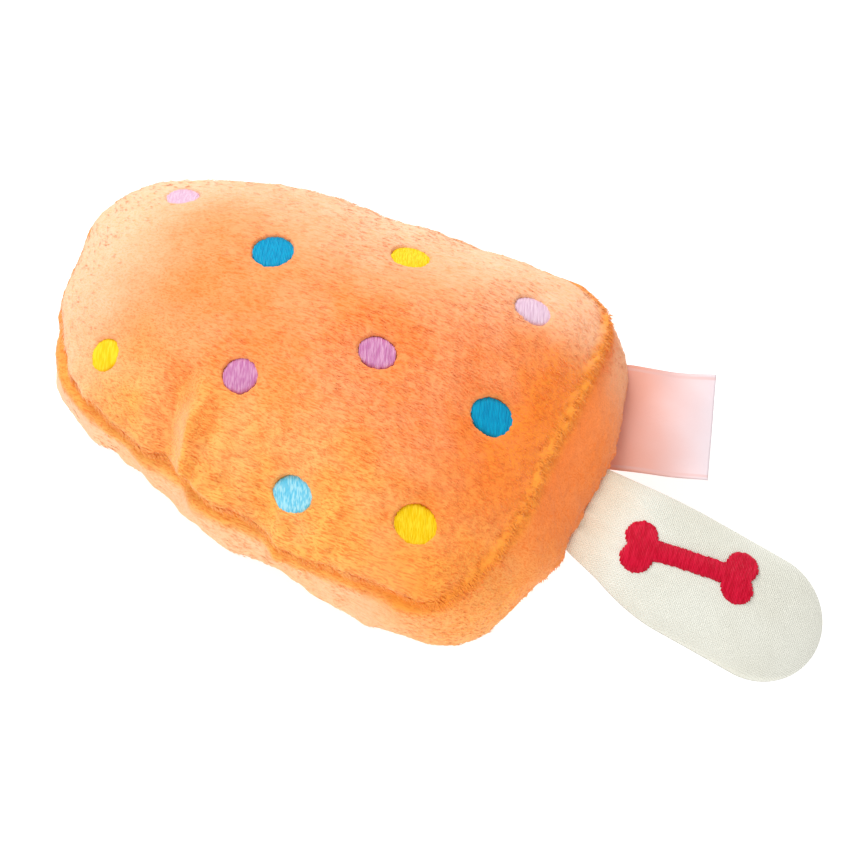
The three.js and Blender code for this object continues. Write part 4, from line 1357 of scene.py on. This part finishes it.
@dataclass
class PlushBody:
    """The three plush skins and the stuffing inside them."""

    form: BodyForm
    surface: PlushSurface
    skin: float = 2.4
    front_rows: int = 132
    side_rows: int = 62
    back_rows: int = 84
    front_lining: tuple[float, ...] = (0.985, 0.95, 0.9, 0.85, 0.78, 0.7, 0.5, 0.3, 0.1)
    side_lining: tuple[float, ...] = (0.96, 0.75, 0.5, 0.25, 0.04)
    back_lining: tuple[float, ...] = (0.1, 0.35, 0.6, 0.75, 0.88, 0.97)
    seam_plane: tuple[float, float, float] = (-0.0907, 0.0, 0.9959)
    wad_inwards: float = 4.4
    wad_lowered: float = 3.7
    wad_floor: float = 2.9
    wad_end: float = 8.6
    tab_half_width: float = 14
    tab_height: float = 23
    tab_half_thickness: float = 2.2

    def _gaps(self, grid: np.ndarray, from_last: bool) -> np.ndarray:
        """Distance of each point from the seam at the last (or first) ring, measured over the rings."""
        steps = np.linalg.norm(np.diff(grid, axis=0), axis=-1)
        run = np.vstack([np.zeros(grid.shape[1]), np.cumsum(steps, axis=0)])
        return run[-1] - run if from_last else run

    def build_front(self) -> Object:
        """Makes the domed front with its dimples, and puts it on the front body.

        Returns:
            The front skin.
        """
        t = np.linspace(0.012, 1, self.front_rows)
        shares = 1 - (1 - t) ** 1.22
        grid = np.array([self.form.front_ring(s) for s in shares])
        gap = self._gaps(grid, True)
        outer = self.surface.dressed(grid, gap, True)
        inner = [self.form.front_ring(s, self.skin, self.skin + 1.6) for s in self.front_lining]
        inner = [self.surface.under(ring) for ring in inner]
        piece = skin_object("plush_front", list(outer) + inner, True, (len(outer) - 1,))
        tufts = PileTufts(self.surface, (0.99, -0.12, -0.1), over_seam=0.8)
        joined(piece, tufts.grow("front_tufts", outer, gap, 17000, 61))
        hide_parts("front_panel")
        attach(piece, "front")
        return piece

    def build_side(self) -> Object:
        """Makes the gusset, between the back and the front.

        Returns:
            The gusset skin.
        """
        shares = np.linspace(0, 1, self.side_rows)
        grid = np.array([self.form.side_ring(s) for s in shares])
        gap = np.minimum(self._gaps(grid, True), self._gaps(grid, False))
        outer = self.surface.dressed(grid, gap, False)
        inner = [self.form.side_ring(s, self.skin) for s in self.side_lining]
        piece = skin_object("plush_gusset", list(outer) + inner, False, (0, len(outer) - 1))
        tufts = PileTufts(self.surface, (0.99, -0.12, -0.6))
        joined(piece, tufts.grow("gusset_tufts", outer, gap, 9000, 62))
        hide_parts("gusset_strip")
        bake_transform(piece)
        return piece

    def build_back(self) -> Object:
        """Makes the back, flat where the toy rests.

        Returns:
            The back skin.
        """
        shares = np.linspace(1, 0.012, self.back_rows)
        grid = np.array([self.form.back_ring(s) for s in shares])
        outer = self.surface.dressed(grid, self._gaps(grid, False), False)
        outer[..., 2] = np.maximum(outer[..., 2], 0.15 * (1 + self.surface.nap(grid)))
        inner = [self.form.back_ring(s, self.skin, self.skin) for s in self.back_lining]
        piece = skin_object("plush_back", list(outer[::-1]) + inner[::-1], True, (len(outer) - 1,))
        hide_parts("back_panel")
        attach(piece, "body")
        return piece

    def build_stuffing(self) -> Object:
        """Makes the wad of fibre, with the pocket that the squeaker sits in and room for the stick's root.

        Returns:
            The wad, riding on the body.
        """
        inwards = self.wad_inwards
        top = [self.form.front_ring(s, inwards, self.wad_lowered) for s in np.linspace(0.04, 1, 26)]
        sides = [self.form.side_ring(s, inwards) for s in np.linspace(0.08, 0.92, 12)]
        under = [self.form.back_ring(s, inwards, self.wad_floor) for s in np.linspace(1, 0.04, 20)]
        rings = []
        for ring in top + sides + under:
            ring = ring[::4]
            fluff = self.surface.noise.at(ring, (8, 8, 8)) + 0.6 * self.surface.tufts.at(ring, (3, 3, 3))
            ring = self.surface.under(ring) - self.form.swelling(ring) * (0.45 * (1 + fluff))[:, None]
            off_side = np.abs(ring[:, 1]) - self.tab_half_width
            off_face = np.abs(ring[:, 2] - self.tab_height) - self.tab_half_thickness
            beside_tab = np.maximum(0, np.maximum(off_side, off_face))
            ring[:, 0] = np.minimum(ring[:, 0], self.wad_end + 2.0 * beside_tab)
            rings.append(ring)
        piece = skin_object("stuffing_wad", rings)
        joined(piece, self._pocket())
        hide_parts("body_filling")
        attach(piece, "body")
        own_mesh(piece)
        return piece

    def _pocket(self) -> Object:
        """The inner wall of the wad round the squeaker, facing inwards."""
        bpy.ops.object.select_all(action="DESELECT")
        place = ((self.form.middle[0] + SHIFT[0]) * MM, 0, 0.0272)
        bpy.ops.mesh.primitive_cylinder_add(vertices=64, radius=0.0186, depth=0.0248, location=place)
        round_off = partial(bpy.ops.mesh.bevel, offset=0.002, segments=3, affect="EDGES")
        edit_whole(round_off, bpy.ops.mesh.flip_normals)
        return bpy.context.object


@dataclass
class StitchMaker:
    """Models one stitch of thread, then lays copies of it side by side."""

    sides: int = 6
    stations: tuple[float, ...] = (-0.93, -0.72, -0.36, 0.0, 0.36, 0.72, 0.93)

    def __post_init__(self) -> None:
        """Models the stitch from a cylinder two units long and one in radius, with cut rings."""
        bpy.ops.object.select_all(action="DESELECT")
        lying = (0, math.pi / 2, 0)
        bpy.ops.mesh.primitive_cylinder_add(vertices=self.sides, radius=1, depth=2, rotation=lying)
        stitch = bpy.context.object
        cut = partial(bpy.ops.mesh.bisect, plane_no=(1, 0, 0))
        edit_whole(*(partial(cut, plane_co=(station, 0, 0)) for station in self.stations))
        mesh = stitch.data
        self.points = np.array([v.co for v in mesh.vertices])
        self.faces = [list(p.vertices) for p in mesh.polygons]
        bpy.data.objects.remove(stitch)

    def join(self, name: str, placed: list[np.ndarray]) -> Object:
        """Makes one piece of many stitches.

        Args:
            name: The piece's name.
            placed: For each stitch, where its points go in the part's frame, in millimetres.

        Returns:
            The new object.
        """
        faces = []
        for number in range(len(placed)):
            start = number * len(self.points)
            faces.extend([[v + start for v in face] for face in self.faces])
        return plain_object(name, np.concatenate(placed), faces)

    def bar(self, start: np.ndarray, end: np.ndarray, out: np.ndarray, radius: float) -> np.ndarray:
        """Lays one stitch straight from start to end, its ends dipping away from out.

        Args:
            start: Where the thread comes up.
            end: Where it goes down.
            out: The direction that the stitch bows towards.
            radius: Half the thread's thickness.

        Returns:
            The stitch's points.
        """
        run = (end - start) / 2
        side = unit(np.cross(run, out))
        lift = unit(np.cross(side, run))
        x, y, z = self.points.T
        bow = radius * (0.9 * (1 - x**2) - 0.3)
        thin = radius * (0.55 + 0.45 * np.sqrt(np.maximum(0, 1 - x**4)))
        middle = (start + end) / 2 + x[:, None] * run + bow[:, None] * lift
        return middle + (thin * y)[:, None] * side + (thin * z)[:, None] * lift


@dataclass
class Embroidery:
    """Satin-stitch dots on the front and the bone on the stick."""

    form: BodyForm
    surface: PlushSurface
    stick: StickForm
    maker: StitchMaker
    pitch: float = 0.44
    thread: float = 0.31
    sunk: float = -0.35
    stitch_turn: float = math.radians(113)
    bone_length: float = 38
    bone_bar: float = 6
    bone_lobe: float = 9
    bone_spread: float = 6.6
    bone_turn: float = math.radians(12)
    bone_along: float = 30.0
    bone_across: float = 2.0
    spokes: tuple[tuple[float, float, float], ...] = ((4, 0, 0), (0, 4, 0), (-4, 0, 0), (0, -4, 0))

    def __post_init__(self) -> None:
        """Gets the surface that the dots are sewn down on."""
        self.ground = self.surface.carrier()

    def build_dot(self, dot: Dot, seed: int) -> Object:
        """Sews one dot: side-by-side stitches that dip into the pile at both ends.

        Args:
            dot: Which dot it is.
            seed: Sets how ragged its edge is.

        Returns:
            The dot, riding on the front.
        """
        chance = np.random.default_rng(seed)
        above = Vector((*dot.plan(self.form), 150))
        centre, normal, _, _ = self.ground.ray_cast(above, Vector((0, 0, -1)))
        corners = [self.ground.ray_cast(above + Vector(d), Vector((0, 0, -1)))[0] for d in self.spokes]
        normal = unit(np.cross(np.array(corners[0] - corners[2]), np.array(corners[1] - corners[3])))
        run = np.array([math.cos(self.stitch_turn), math.sin(self.stitch_turn), 0])
        run = unit(run - normal * (run @ normal))
        beside = np.cross(normal, run)
        x, y, z = self.maker.points.T
        placed = []
        spread = np.array(dot.radii)
        aa = ((run[:2] / spread) ** 2).sum()
        ab = (run[:2] * beside[:2] / spread**2).sum()
        bb = ((beside[:2] / spread) ** 2).sum()
        count = int(math.sqrt(aa / (aa * bb - ab**2)) / self.pitch)
        for k in range(-count, count + 1):
            b = (k + chance.uniform(-0.12, 0.12)) * self.pitch
            half = math.sqrt(max(0.0, ab**2 * b**2 - aa * (bb * b**2 - 1))) / aa
            half = max(0.9, half + chance.uniform(-0.14, 0.16))
            a = x * half - ab * b / aa + chance.uniform(-0.08, 0.08)
            over = np.array(centre) + a[:, None] * run + b * beside + 12 * normal
            base = np.array([self.ground.ray_cast(Vector(p), Vector(-normal))[0] for p in over])
            crown = 0.6 * (aa * a**2 + 2 * ab * a * b + bb * b**2)
            height = self.sunk - crown - 0.8 * smooth(np.abs(x), 0.9, 1.0)
            across = (self.thread * y)[:, None] * beside
            placed.append(base + across + (height + 0.8 * self.thread * z)[:, None] * normal + SHIFT)
        piece = self.maker.join(dot.node + "_stitches", placed)
        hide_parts(dot.node)
        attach(piece, "front")
        return piece

    def _chords(self, u: float) -> list[tuple[float, float]]:
        """Where a line across the bone at u lies inside it, as pairs of low and high."""
        reach = self.bone_length / 2 - self.bone_lobe / 2
        spans = [(-self.bone_bar / 2, self.bone_bar / 2)] if abs(u) <= reach else []
        inside = (self.bone_lobe / 2) ** 2 - (abs(u) - reach) ** 2
        if inside > 0:
            half = math.sqrt(inside)
            spans += [(lobe - half, lobe + half) for lobe in (-self.bone_spread / 2, self.bone_spread / 2)]
        merged: list[tuple[float, float]] = []
        for low, high in sorted(spans):
            if merged and low <= merged[-1][1] + 0.2:
                merged[-1] = (merged[-1][0], max(merged[-1][1], high))
            else:
                merged.append((low, high))
        return merged

    def build_bone(self) -> Object:
        """Sews the bone over the crown of the stick.

        Returns:
            The bone, riding on the stick.
        """
        chance = np.random.default_rng(5)
        stick = self.stick
        centre = stick.place(np.array(self.bone_along), np.array(self.bone_across), np.array(0.0))[:2]
        run = np.array([math.cos(self.bone_turn), math.sin(self.bone_turn)])
        beside = np.array([-run[1], run[0]])
        x, y, z = self.maker.points.T
        placed = []
        count = int(self.bone_length / 2 / self.pitch)
        for k in range(-count, count + 1):
            for low, high in self._chords(k * self.pitch):
                low, high = low + chance.uniform(-0.2, 0.15), high + chance.uniform(-0.15, 0.2)
                if high - low < 0.8:
                    continue
                v = (low + high) / 2 + x * (high - low) / 2
                plan = centre + (k * self.pitch + self.thread * y)[:, None] * run + v[:, None] * beside
                along = plan[:, 0] - stick.hinge_x
                across = plan[:, 1] - stick.sideways * stick.spread(along)
                share = stick.share_at(np.stack([along, across], 1))
                base = stick.place(along, across, stick.crown(share, stick.thickness / 2) + 0.15)
                height = 0.3 + 0.45 * np.sqrt(np.maximum(0, 1 - x**2)) - 0.55 * smooth(np.abs(x), 0.9, 1.0)
                placed.append(base + (height + 0.8 * self.thread * z)[:, None] * UP + SHIFT)
        piece = self.maker.join("stick_bone_stitches", placed)
        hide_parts("stick_bone_embroidery")
        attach(piece, "stick")
        return piece

    def build_backing(self) -> Object:
        """Makes the felt sheet behind the dots, inside the front.

        Returns:
            The sheet, riding on the front.
        """
        shares = np.linspace(0.03, 0.86, 24)
        outer = [self.surface.under(self.form.front_ring(s, 2.4, 4.15)[::6]) for s in shares]
        inner = [self.surface.under(self.form.front_ring(s, 2.4, 4.5)[::6]) for s in shares[::-1]]
        piece = skin_object("backing_felt", outer + inner)
        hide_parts("embroidery_backing")
        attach(piece, "front")
        return piece


@dataclass
class SeamStitching:
    """The threads of the seams: lock stitches round the edges and the ladder that closes the body."""

    form: BodyForm
    stick: StickForm
    maker: StitchMaker
    depth: float = 3.15
    stitch: float = 2.6
    gap: float = 0.35

    def _lock_stitches(self, path: np.ndarray, radius: float, out: np.ndarray) -> list[np.ndarray]:
        """Lays stitches end to end round a closed path, each out of line with the next."""
        closed = np.vstack([path, path[:1]])
        run = np.r_[0, np.cumsum(np.linalg.norm(np.diff(closed, axis=0), axis=1))]
        count = int(run[-1] / self.stitch)
        placed = []
        for number in range(count):
            start, end = number * run[-1] / count, (number + 1) * run[-1] / count - self.gap
            ends = [np.array([np.interp(at, run, closed[:, k]) for k in range(3)]) for at in (start, end)]
            wander = 0.12 * (-1) ** number * out
            placed.append(self.maker.bar(ends[0] + wander, ends[1] - wander, out, radius) + SHIFT)
        return placed

    def build_front_seam(self) -> Object:
        """The lock stitches between front and gusset, just inside the skin."""
        path = self.form.front_ring(1.0, self.depth)
        piece = self.maker.join("front_seam_stitches", self._lock_stitches(path, 0.42, UP))
        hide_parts("front_seam_thread")
        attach(piece, "front")
        return piece

    def build_back_seam(self) -> Object:
        """The lock stitches between gusset and back, just inside the skin."""
        top = self.form.side_ring(0.0, self.depth)
        low = self.form.side_ring(1.0, self.depth)
        share = 1.75 / (top[:, 2] - low[:, 2])
        plan = self.form.side_ring(0.94, self.depth)[:, :2]
        height = low[:, 2] + (top[:, 2] - low[:, 2]) * share
        piece = self.maker.join(
            "back_seam_stitches", self._lock_stitches(np.column_stack([plan, height]), 0.42, UP)
        )
        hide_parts("back_seam_thread")
        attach(piece, "body")
        return piece

    def build_stick_seam(self) -> Object:
        """The lock stitches round the edge of the stick, inside its cloth."""
        plan = self.stick.outline - self.stick.outward * 1.65
        path = self.stick.place(plan[:, 0], plan[:, 1], np.zeros(len(plan)))
        piece = self.maker.join("stick_seam_stitches", self._lock_stitches(path, 0.33, UP))
        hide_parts("stick_seam_thread")
        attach(piece, "stick")
        return piece

    def build_closing(self) -> Object:
        """The hand-sewn ladder over the gap through which the toy was stuffed."""
        seam = self.form.side_ring(1.0, 0.4)[:, :2]
        start = int(0.62 * len(seam))
        spacing = 4.6 / np.linalg.norm(seam[1] - seam[0])
        points = []
        for number in range(10):
            plan = seam[int(start + number * spacing)]
            points.append(np.append(plan, self.form.back_at_sides + (1.6 if number % 2 else -1.6)))
        out = np.array([0.0, -1.0, 0.0])
        bars = [self.maker.bar(a, b, out, 0.45) + SHIFT for a, b in zip(points[:-1], points[1:])]
        piece = self.maker.join("closing_ladder_stitches", bars)
        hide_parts("closing_stitch")
        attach(piece, "body")
        return piece


@dataclass
class SoftStick:
    """The cloth stick: two covers, its wad of fibre and the flat root in the seam."""

    form: StickForm
    cloth: float = 1.0
    rows: int = 96
    root_reach: float = 3.2
    bend_start: float = 0.0462
    bend_end: float = 0.0545

    def __post_init__(self) -> None:
        """Sets up the noise of the creases."""
        self.noise = ClothNoise(31)

    def _laid(self, plan: np.ndarray, rise: np.ndarray, side: int) -> np.ndarray:
        """Places points of a cover, with the creases that run out from its root.

        Args:
            plan: Distances along and across the flat stick.
            rise: Heights of the pillow there.
            side: 1 for the upper cover, -1 for the lower.

        Returns:
            The places in millimetres.
        """
        along, across = plan[..., 0], plan[..., 1]
        flat = np.stack([along, across, np.zeros_like(along)], -1)
        fade = np.exp(-np.maximum(0, along) / 15)
        crease = 0.95 * self.noise.at(flat + 11, (15, 3.4, 1)) * fade
        crease = crease + 0.35 * self.noise.at(flat + 30, (7, 2.2, 1)) * fade
        soft = 0.4 * self.noise.at(flat + 60, (19, 13, 1))
        inside = smooth(rise, 0.0, 1.6)
        points = self.form.place(along, across, side * rise)
        points[..., 0] -= self.root_reach * (1 - smooth(along, 0, 10))
        points[..., 2] += side * (0.15 + (crease + soft) * inside)
        return points

    def _cover(self, name: str, side: int, node: str) -> Object:
        """Makes one cover, bending at its root from the body to the stick."""
        form = self.form
        t = np.linspace(0.012, 1, self.rows)
        shares = 1 - (1 - t) ** 1.3
        outer, inner = [], []
        for share in shares:
            plan = form.middle + share * (form.outline - form.middle)
            rise = form.crown(np.full(len(plan), share), form.thickness / 2)
            outer.append(self._laid(plan, rise, side))
        drawn = form.outline - form.outward * self.cloth
        for share in (0.985, 0.93, 0.8, 0.6, 0.35, 0.12):
            plan = form.middle + share * (drawn - form.middle)
            rise = form.crown(np.full(len(plan), share), form.thickness / 2 - self.cloth - 0.6)
            points = form.place(plan[:, 0], plan[:, 1], side * rise)
            points[:, 0] -= self.root_reach * (1 - smooth(plan[:, 0], 0, 10))
            points[:, 2] += side * 0.1
            inner.append(points)
        piece = skin_object(name, outer + inner)
        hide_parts(node)
        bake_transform(piece)
        return piece

    def build_covers(self) -> list[Object]:
        """Makes the upper and the lower cover."""
        upper = self._cover("stick_cloth_upper", 1, "stick_front_cover")
        return [upper, self._cover("stick_cloth_lower", -1, "stick_back_cover")]

    def build_wad(self) -> Object:
        """Makes the wad of fibre in the stick."""
        form = self.form
        drawn = form.outline - form.outward * 2.6
        rings = []
        for side, shares in ((1, np.linspace(0.05, 1, 16)), (-1, np.linspace(0.95, 0.05, 16))):
            for share in shares:
                plan = form.middle + share * (drawn[::6] - form.middle)
                flat = np.column_stack([plan, np.full(len(plan), side * 4.0)])
                rise = form.crown(np.full(len(plan), share), form.thickness / 2 - 2.2)
                rise = rise * (0.9 + 0.1 * self.noise.at(flat, (5, 5, 5)))
                rings.append(form.place(plan[:, 0], plan[:, 1], side * rise))
        piece = skin_object("stick_stuffing_wad", rings)
        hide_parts("stick_filling")
        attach(piece, "stick")
        return piece

    def build_root(self) -> Object:
        """Makes the flat root, its raw edge slightly puckered, from a block."""
        low, high = (np.array(corner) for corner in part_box("stick_root_tab"))
        bpy.ops.object.select_all(action="DESELECT")
        bpy.ops.mesh.primitive_cube_add(size=1, location=tuple((low + high) / 2))
        piece = bpy.context.object
        piece.name = "stick_root_seam_allowance"
        piece.scale = tuple(high - low)
        round_off = partial(bpy.ops.mesh.bevel, offset=0.0004, segments=2, affect="EDGES")
        edit_whole(round_off, partial(bpy.ops.mesh.subdivide, number_cuts=5))
        for vertex in piece.data.vertices:
            share = 1 if vertex.co.x < low[0] + 0.004 else 0.2
            vertex.co.z += 0.00018 * math.sin(vertex.co.y * 1500) * share
        bpy.ops.object.shade_smooth_by_angle(angle=math.radians(40))
        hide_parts("stick_root_tab")
        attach(piece, "body")
        return piece


@dataclass
class CareRibbon:
    """The satin label, sewn into the seam beside the stick."""

    form: BodyForm
    width: float = 32
    length: float = 24
    root: float = 4.8
    turn: float = math.radians(21)
    across: float = 24.5
    thickness: float = 0.3

    def build(self) -> Object:
        """Makes the label as one sheet with a soft wave and two turned corners.

        Returns:
            The label, bending at its root.
        """
        form = self.form
        outward = np.array([math.cos(self.turn), math.sin(self.turn)])
        sideways = np.array([-outward[1], outward[0]])
        seam = form.seam + form.outward * form.bulge[:, None]
        reach = (seam @ outward).max()
        height = form.back_height[int(np.argmax(seam @ outward))] + 1
        rows, columns = 54, 66
        out = np.linspace(-self.root, self.length, rows)[:, None] * np.ones(columns)
        aside = np.linspace(-self.width / 2, self.width / 2, columns)[None, :] * np.ones((rows, 1))
        free = np.clip(out / self.length, 0, 1)
        wave = 1.15 * np.sin(aside * 0.2 + 0.9 + 1.1 * free) * smooth(free, 0, 0.8)
        curl = 1.9 * smooth(free, 0.45, 1.05) * (aside / (self.width / 2)) ** 2
        dip = -1.2 * np.sin(np.pi * free) * smooth(aside, 4, 16)
        z = height - 1.5 * free**2 + wave + curl + dip
        plan = outward * (reach + 0.8 + out)[..., None] + sideways * (self.across + aside)[..., None]
        points = np.concatenate([plan, z[..., None]], -1).reshape(-1, 3) + SHIFT
        faces = [
            [r * columns + c, (r + 1) * columns + c, (r + 1) * columns + c + 1, r * columns + c + 1]
            for r in range(rows - 1)
            for c in range(columns - 1)
        ]
        piece = plain_object("care_ribbon", points, faces)
        bpy.ops.object.select_all(action="DESELECT")
        piece.select_set(True)
        bpy.context.view_layer.objects.active = piece
        wall = piece.modifiers.new("wall", "SOLIDIFY")
        wall.thickness = self.thickness * MM
        wall.offset = 0
        bpy.ops.object.modifier_apply(modifier=wall.name)
        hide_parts("care_label")
        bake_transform(piece)
        return piece


@dataclass
class Squeaker:
    """The squeaker's plastic pieces keep their own shapes and get their plastics."""

    soft: tuple[str, ...] = ("squeaker_bulb",)
    hard: tuple[str, ...] = ("squeaker_plug", "reed_channel", "squeaker_reed")

    def dress(self) -> None:
        """Puts a milky blown plastic on the bulb and a moulded one on the small pieces."""
        tones = (0.9, 0.92, 0.88), (0.8, 0.84, 0.8)
        milky = FibreFinish("milky blown plastic", *tones, 900, 0.00004, 0.45, 0.0, 0.4)
        tones = (0.93, 0.93, 0.93), (0.86, 0.87, 0.88)
        moulded = FibreFinish("moulded plastic", *tones, 1500, 0.00002, 0.35, 0.0, 0.1)
        for names, finish in ((self.soft, milky.build()), (self.hard, moulded.build())):
            for name in names:
                node = frame["nodes"][name]
                for slot in node.material_slots:
                    slot.material = finish


@dataclass
class Studio:
    """The pale floor, the soft lights and the camera."""

    place: tuple[float, float, float] = (0.1434, -0.2841, 0.9007)
    azimuth: float = math.radians(27.086)
    elevation: float = math.radians(70)
    lens: float = 137.96

    def build(self) -> None:
        """Sets the stage."""
        scene = bpy.context.scene
        scene.view_settings.view_transform = "Standard"
        bpy.ops.object.select_all(action="DESELECT")
        bpy.ops.mesh.primitive_plane_add(size=6)
        floor = bpy.context.object
        floor.name = "floor"
        floor.data.materials.append(self._floor_paint())
        world = bpy.data.worlds.new("studio")
        world.use_nodes = True
        world.node_tree.nodes["Background"].inputs[0].default_value = (1, 1, 1, 1)
        world.node_tree.nodes["Background"].inputs[1].default_value = 0.6
        scene.world = world
        self._light("key", (-0.6, 0.55, 0.85), 0.6, 10.0)
        self._light("fill", (0.3, -0.85, 0.6), 0.9, 5.0)
        self._camera()

    def _floor_paint(self) -> Material:
        """A pale matt paint with a very faint grain."""
        material, board, points = new_material("studio floor")
        tone = board.ramp(board.noise(points, 30), 0.3, 0.7, 0.0, 1.0)
        colour = board.mix(tone, (0.5, 0.5, 0.5, 1), (0.52, 0.52, 0.52, 1))
        glow = {"Emission Color": (1, 1, 1, 1), "Emission Strength": 0.72}
        board.surface({"Base Color": colour, "Roughness": 0.9, **glow})
        return material

    def _light(self, name: str, place: tuple[float, float, float], size: float, power: float) -> None:
        """Adds one soft light that faces the toy."""
        data = bpy.data.lights.new(name, "AREA")
        data.size, data.energy = size, power
        light = bpy.data.objects.new(name, data)
        light.location = place
        light.rotation_euler = (Vector((0, 0, 0.03)) - Vector(place)).to_track_quat("-Z", "Y").to_euler()
        bpy.context.scene.collection.objects.link(light)

    def _camera(self) -> None:
        """Sets the camera at the photograph's viewing angle."""
        data = bpy.data.cameras.new("camera")
        data.lens, data.sensor_width, data.clip_end = self.lens, 36, 10
        camera = bpy.data.objects.new("camera", data)
        c, s = math.cos(self.azimuth), math.sin(self.azimuth)
        right, ahead = Vector((c, s, 0)), Vector((-s, c, 0))
        top = math.sin(self.elevation) * ahead + Vector((0, 0, math.cos(self.elevation)))
        look = math.cos(self.elevation) * ahead - Vector((0, 0, math.sin(self.elevation)))
        turn = Matrix((right, top, -look)).transposed().to_4x4()
        camera.matrix_world = Matrix.Translation(self.place) @ turn
        bpy.context.scene.collection.objects.link(camera)
        bpy.context.scene.camera = camera


# For each shade: its thread colour, its painted glint colour and a name.
THREADS = {
    Shade.LILAC: ((0.54, 0.185, 0.4), (0.78, 0.46, 0.64), "thread_lilac"),
    Shade.BLUE: ((0.0, 0.27, 0.5), (0.0, 0.42, 0.66), "thread_blue"),
    Shade.SKY: ((0.13, 0.57, 0.78), (0.6, 0.9, 0.93), "thread_sky"),
    Shade.YELLOW: ((0.86, 0.55, 0.0), (1.0, 0.78, 0.04), "thread_yellow"),
    Shade.RED: ((0.5, 0.0, 0.02), (0.72, 0.01, 0.05), "thread_red"),
}


def thread_material(shade: Shade, painted_sheen: float, turn: float) -> Material:
    """The embroidery thread of one shade.

    Args:
        shade: Which colour it is.
        painted_sheen: How far painted sheen lightens the thread, 0 for the plain shade, up to 1 for white.
        turn: The turn that brings the stitches in line with the y axis.

    Returns:
        The material, made once for each shade and painted sheen.
    """
    base, glint, _ = THREADS[shade]
    name = f"{shade.value} thread {painted_sheen:g}"
    if name in bpy.data.materials:
        return bpy.data.materials[name]
    # Painted sheen: the thread and its glint lightened towards white.
    lighter = [tuple(c + (1 - c) * painted_sheen * 0.55 for c in colour) for colour in (base, glint)]
    return ThreadFinish(name, lighter[0], lighter[1], turn).build()


@dataclass
class PopsicleToy:
    """The whole toy: every sub-assembly, made and dressed in its materials."""

    form: BodyForm
    stick_form: StickForm

    def __post_init__(self) -> None:
        """Tries the cloth out, and makes what several sub-assemblies share."""
        ClothTrial(self.form).run()
        self.surface = PlushSurface(self.form)
        self.maker = StitchMaker()
        fibre = FibreFinish("white fibre", (0.93, 0.93, 0.93), (0.7, 0.71, 0.73), 420, 0.0012)
        self.white_fibre = fibre.build()

    def build_body(self) -> None:
        """Makes the three plush skins and the wad inside them."""
        body = PlushBody(self.form, self.surface)
        plush = PlushFinish("plush").build()
        # The gusset: a deeper brushed shade, painted sheen towards the dome and painted shade under the
        # front's lip.
        side_tones = {"brushed_shade": (0.98, 0.225, 0.036), "far_fade": 0.9, "side_painted_sheen": 0.64, "sheen": 0.4}
        side_plush = PlushFinish("gusset plush", **side_tones).build()
        for piece, material, slot in (
            (body.build_front(), plush, "plush"),
            (body.build_side(), side_plush, "plush_side"),
            (body.build_back(), plush, "plush"),
            (body.build_stuffing(), self.white_fibre, "filling"),
        ):
            dress(piece, material)
            LOG.info("body: %s, %d faces", piece.name, len(piece.data.polygons))

    def sew_embroidery(self) -> None:
        """Sews the dots on the front and the bone on the stick, and lays the felt behind the dots."""
        sewing = Embroidery(self.form, self.surface, self.stick_form, self.maker)
        across = math.pi / 2 - sewing.stitch_turn
        for number, dot in enumerate(DOTS):
            piece = sewing.build_dot(dot, 100 + number)
            dress(piece, thread_material(dot.shade, dot.painted_sheen, across))
            LOG.info("embroidery: %s", piece.name)
        bone = sewing.build_bone()
        dress(bone, thread_material(Shade.RED, 0.0, -sewing.bone_turn))
        backing = sewing.build_backing()
        felt = FibreFinish("backing felt", (0.88, 0.86, 0.8), (0.76, 0.74, 0.66), 1300, 0.0002)
        dress(backing, felt.build())
        LOG.info("embroidery: %s and %s", bone.name, backing.name)

    def build_stick(self) -> None:
        """Makes the stick's covers, its root in the seam and its wad."""
        stick = SoftStick(self.stick_form)
        woven = WovenFinish("fine woven cloth").build()
        for piece in [*stick.build_covers(), stick.build_root()]:
            dress(piece, woven)
            LOG.info("stick: %s, %d faces", piece.name, len(piece.data.polygons))
        dress(stick.build_wad(), self.white_fibre)

    def sew_seams(self) -> None:
        """Sews the body's two seams, the ladder that closes it, and the stick's edge."""
        seams = SeamStitching(self.form, self.stick_form, self.maker)
        orange = ThreadFinish("orange thread", (0.75, 0.3, 0.1), (0.95, 0.5, 0.2)).build()
        cream = ThreadFinish("cream thread", (0.78, 0.73, 0.56), (0.9, 0.87, 0.74)).build()
        for piece, material, slot in (
            (seams.build_front_seam(), orange, "thread_orange"),
            (seams.build_back_seam(), orange, "thread_orange"),
            (seams.build_closing(), orange, "thread_orange"),
            (seams.build_stick_seam(), cream, "stick_thread"),
        ):
            dress(piece, material)
            LOG.info("seams: %s", piece.name)

    def build_label(self) -> None:
        """Makes the label."""
        ribbon = CareRibbon(self.form).build()
        dress(ribbon, RibbonFinish("satin ribbon").build())
        LOG.info("label: %s", ribbon.name)


def main() -> None:
    """Builds the stage and every sub-assembly in order."""
    logging.basicConfig(level=logging.INFO, format="%(message)s")
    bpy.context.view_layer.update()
    Studio().build()
    toy = PopsicleToy(BodyForm(), StickForm())
    toy.build_body()
    toy.sew_embroidery()
    toy.build_stick()
    toy.sew_seams()
    toy.build_label()
    Squeaker().dress()
    LOG.info("squeaker: dressed")


if __name__ == "__main__":
    main()
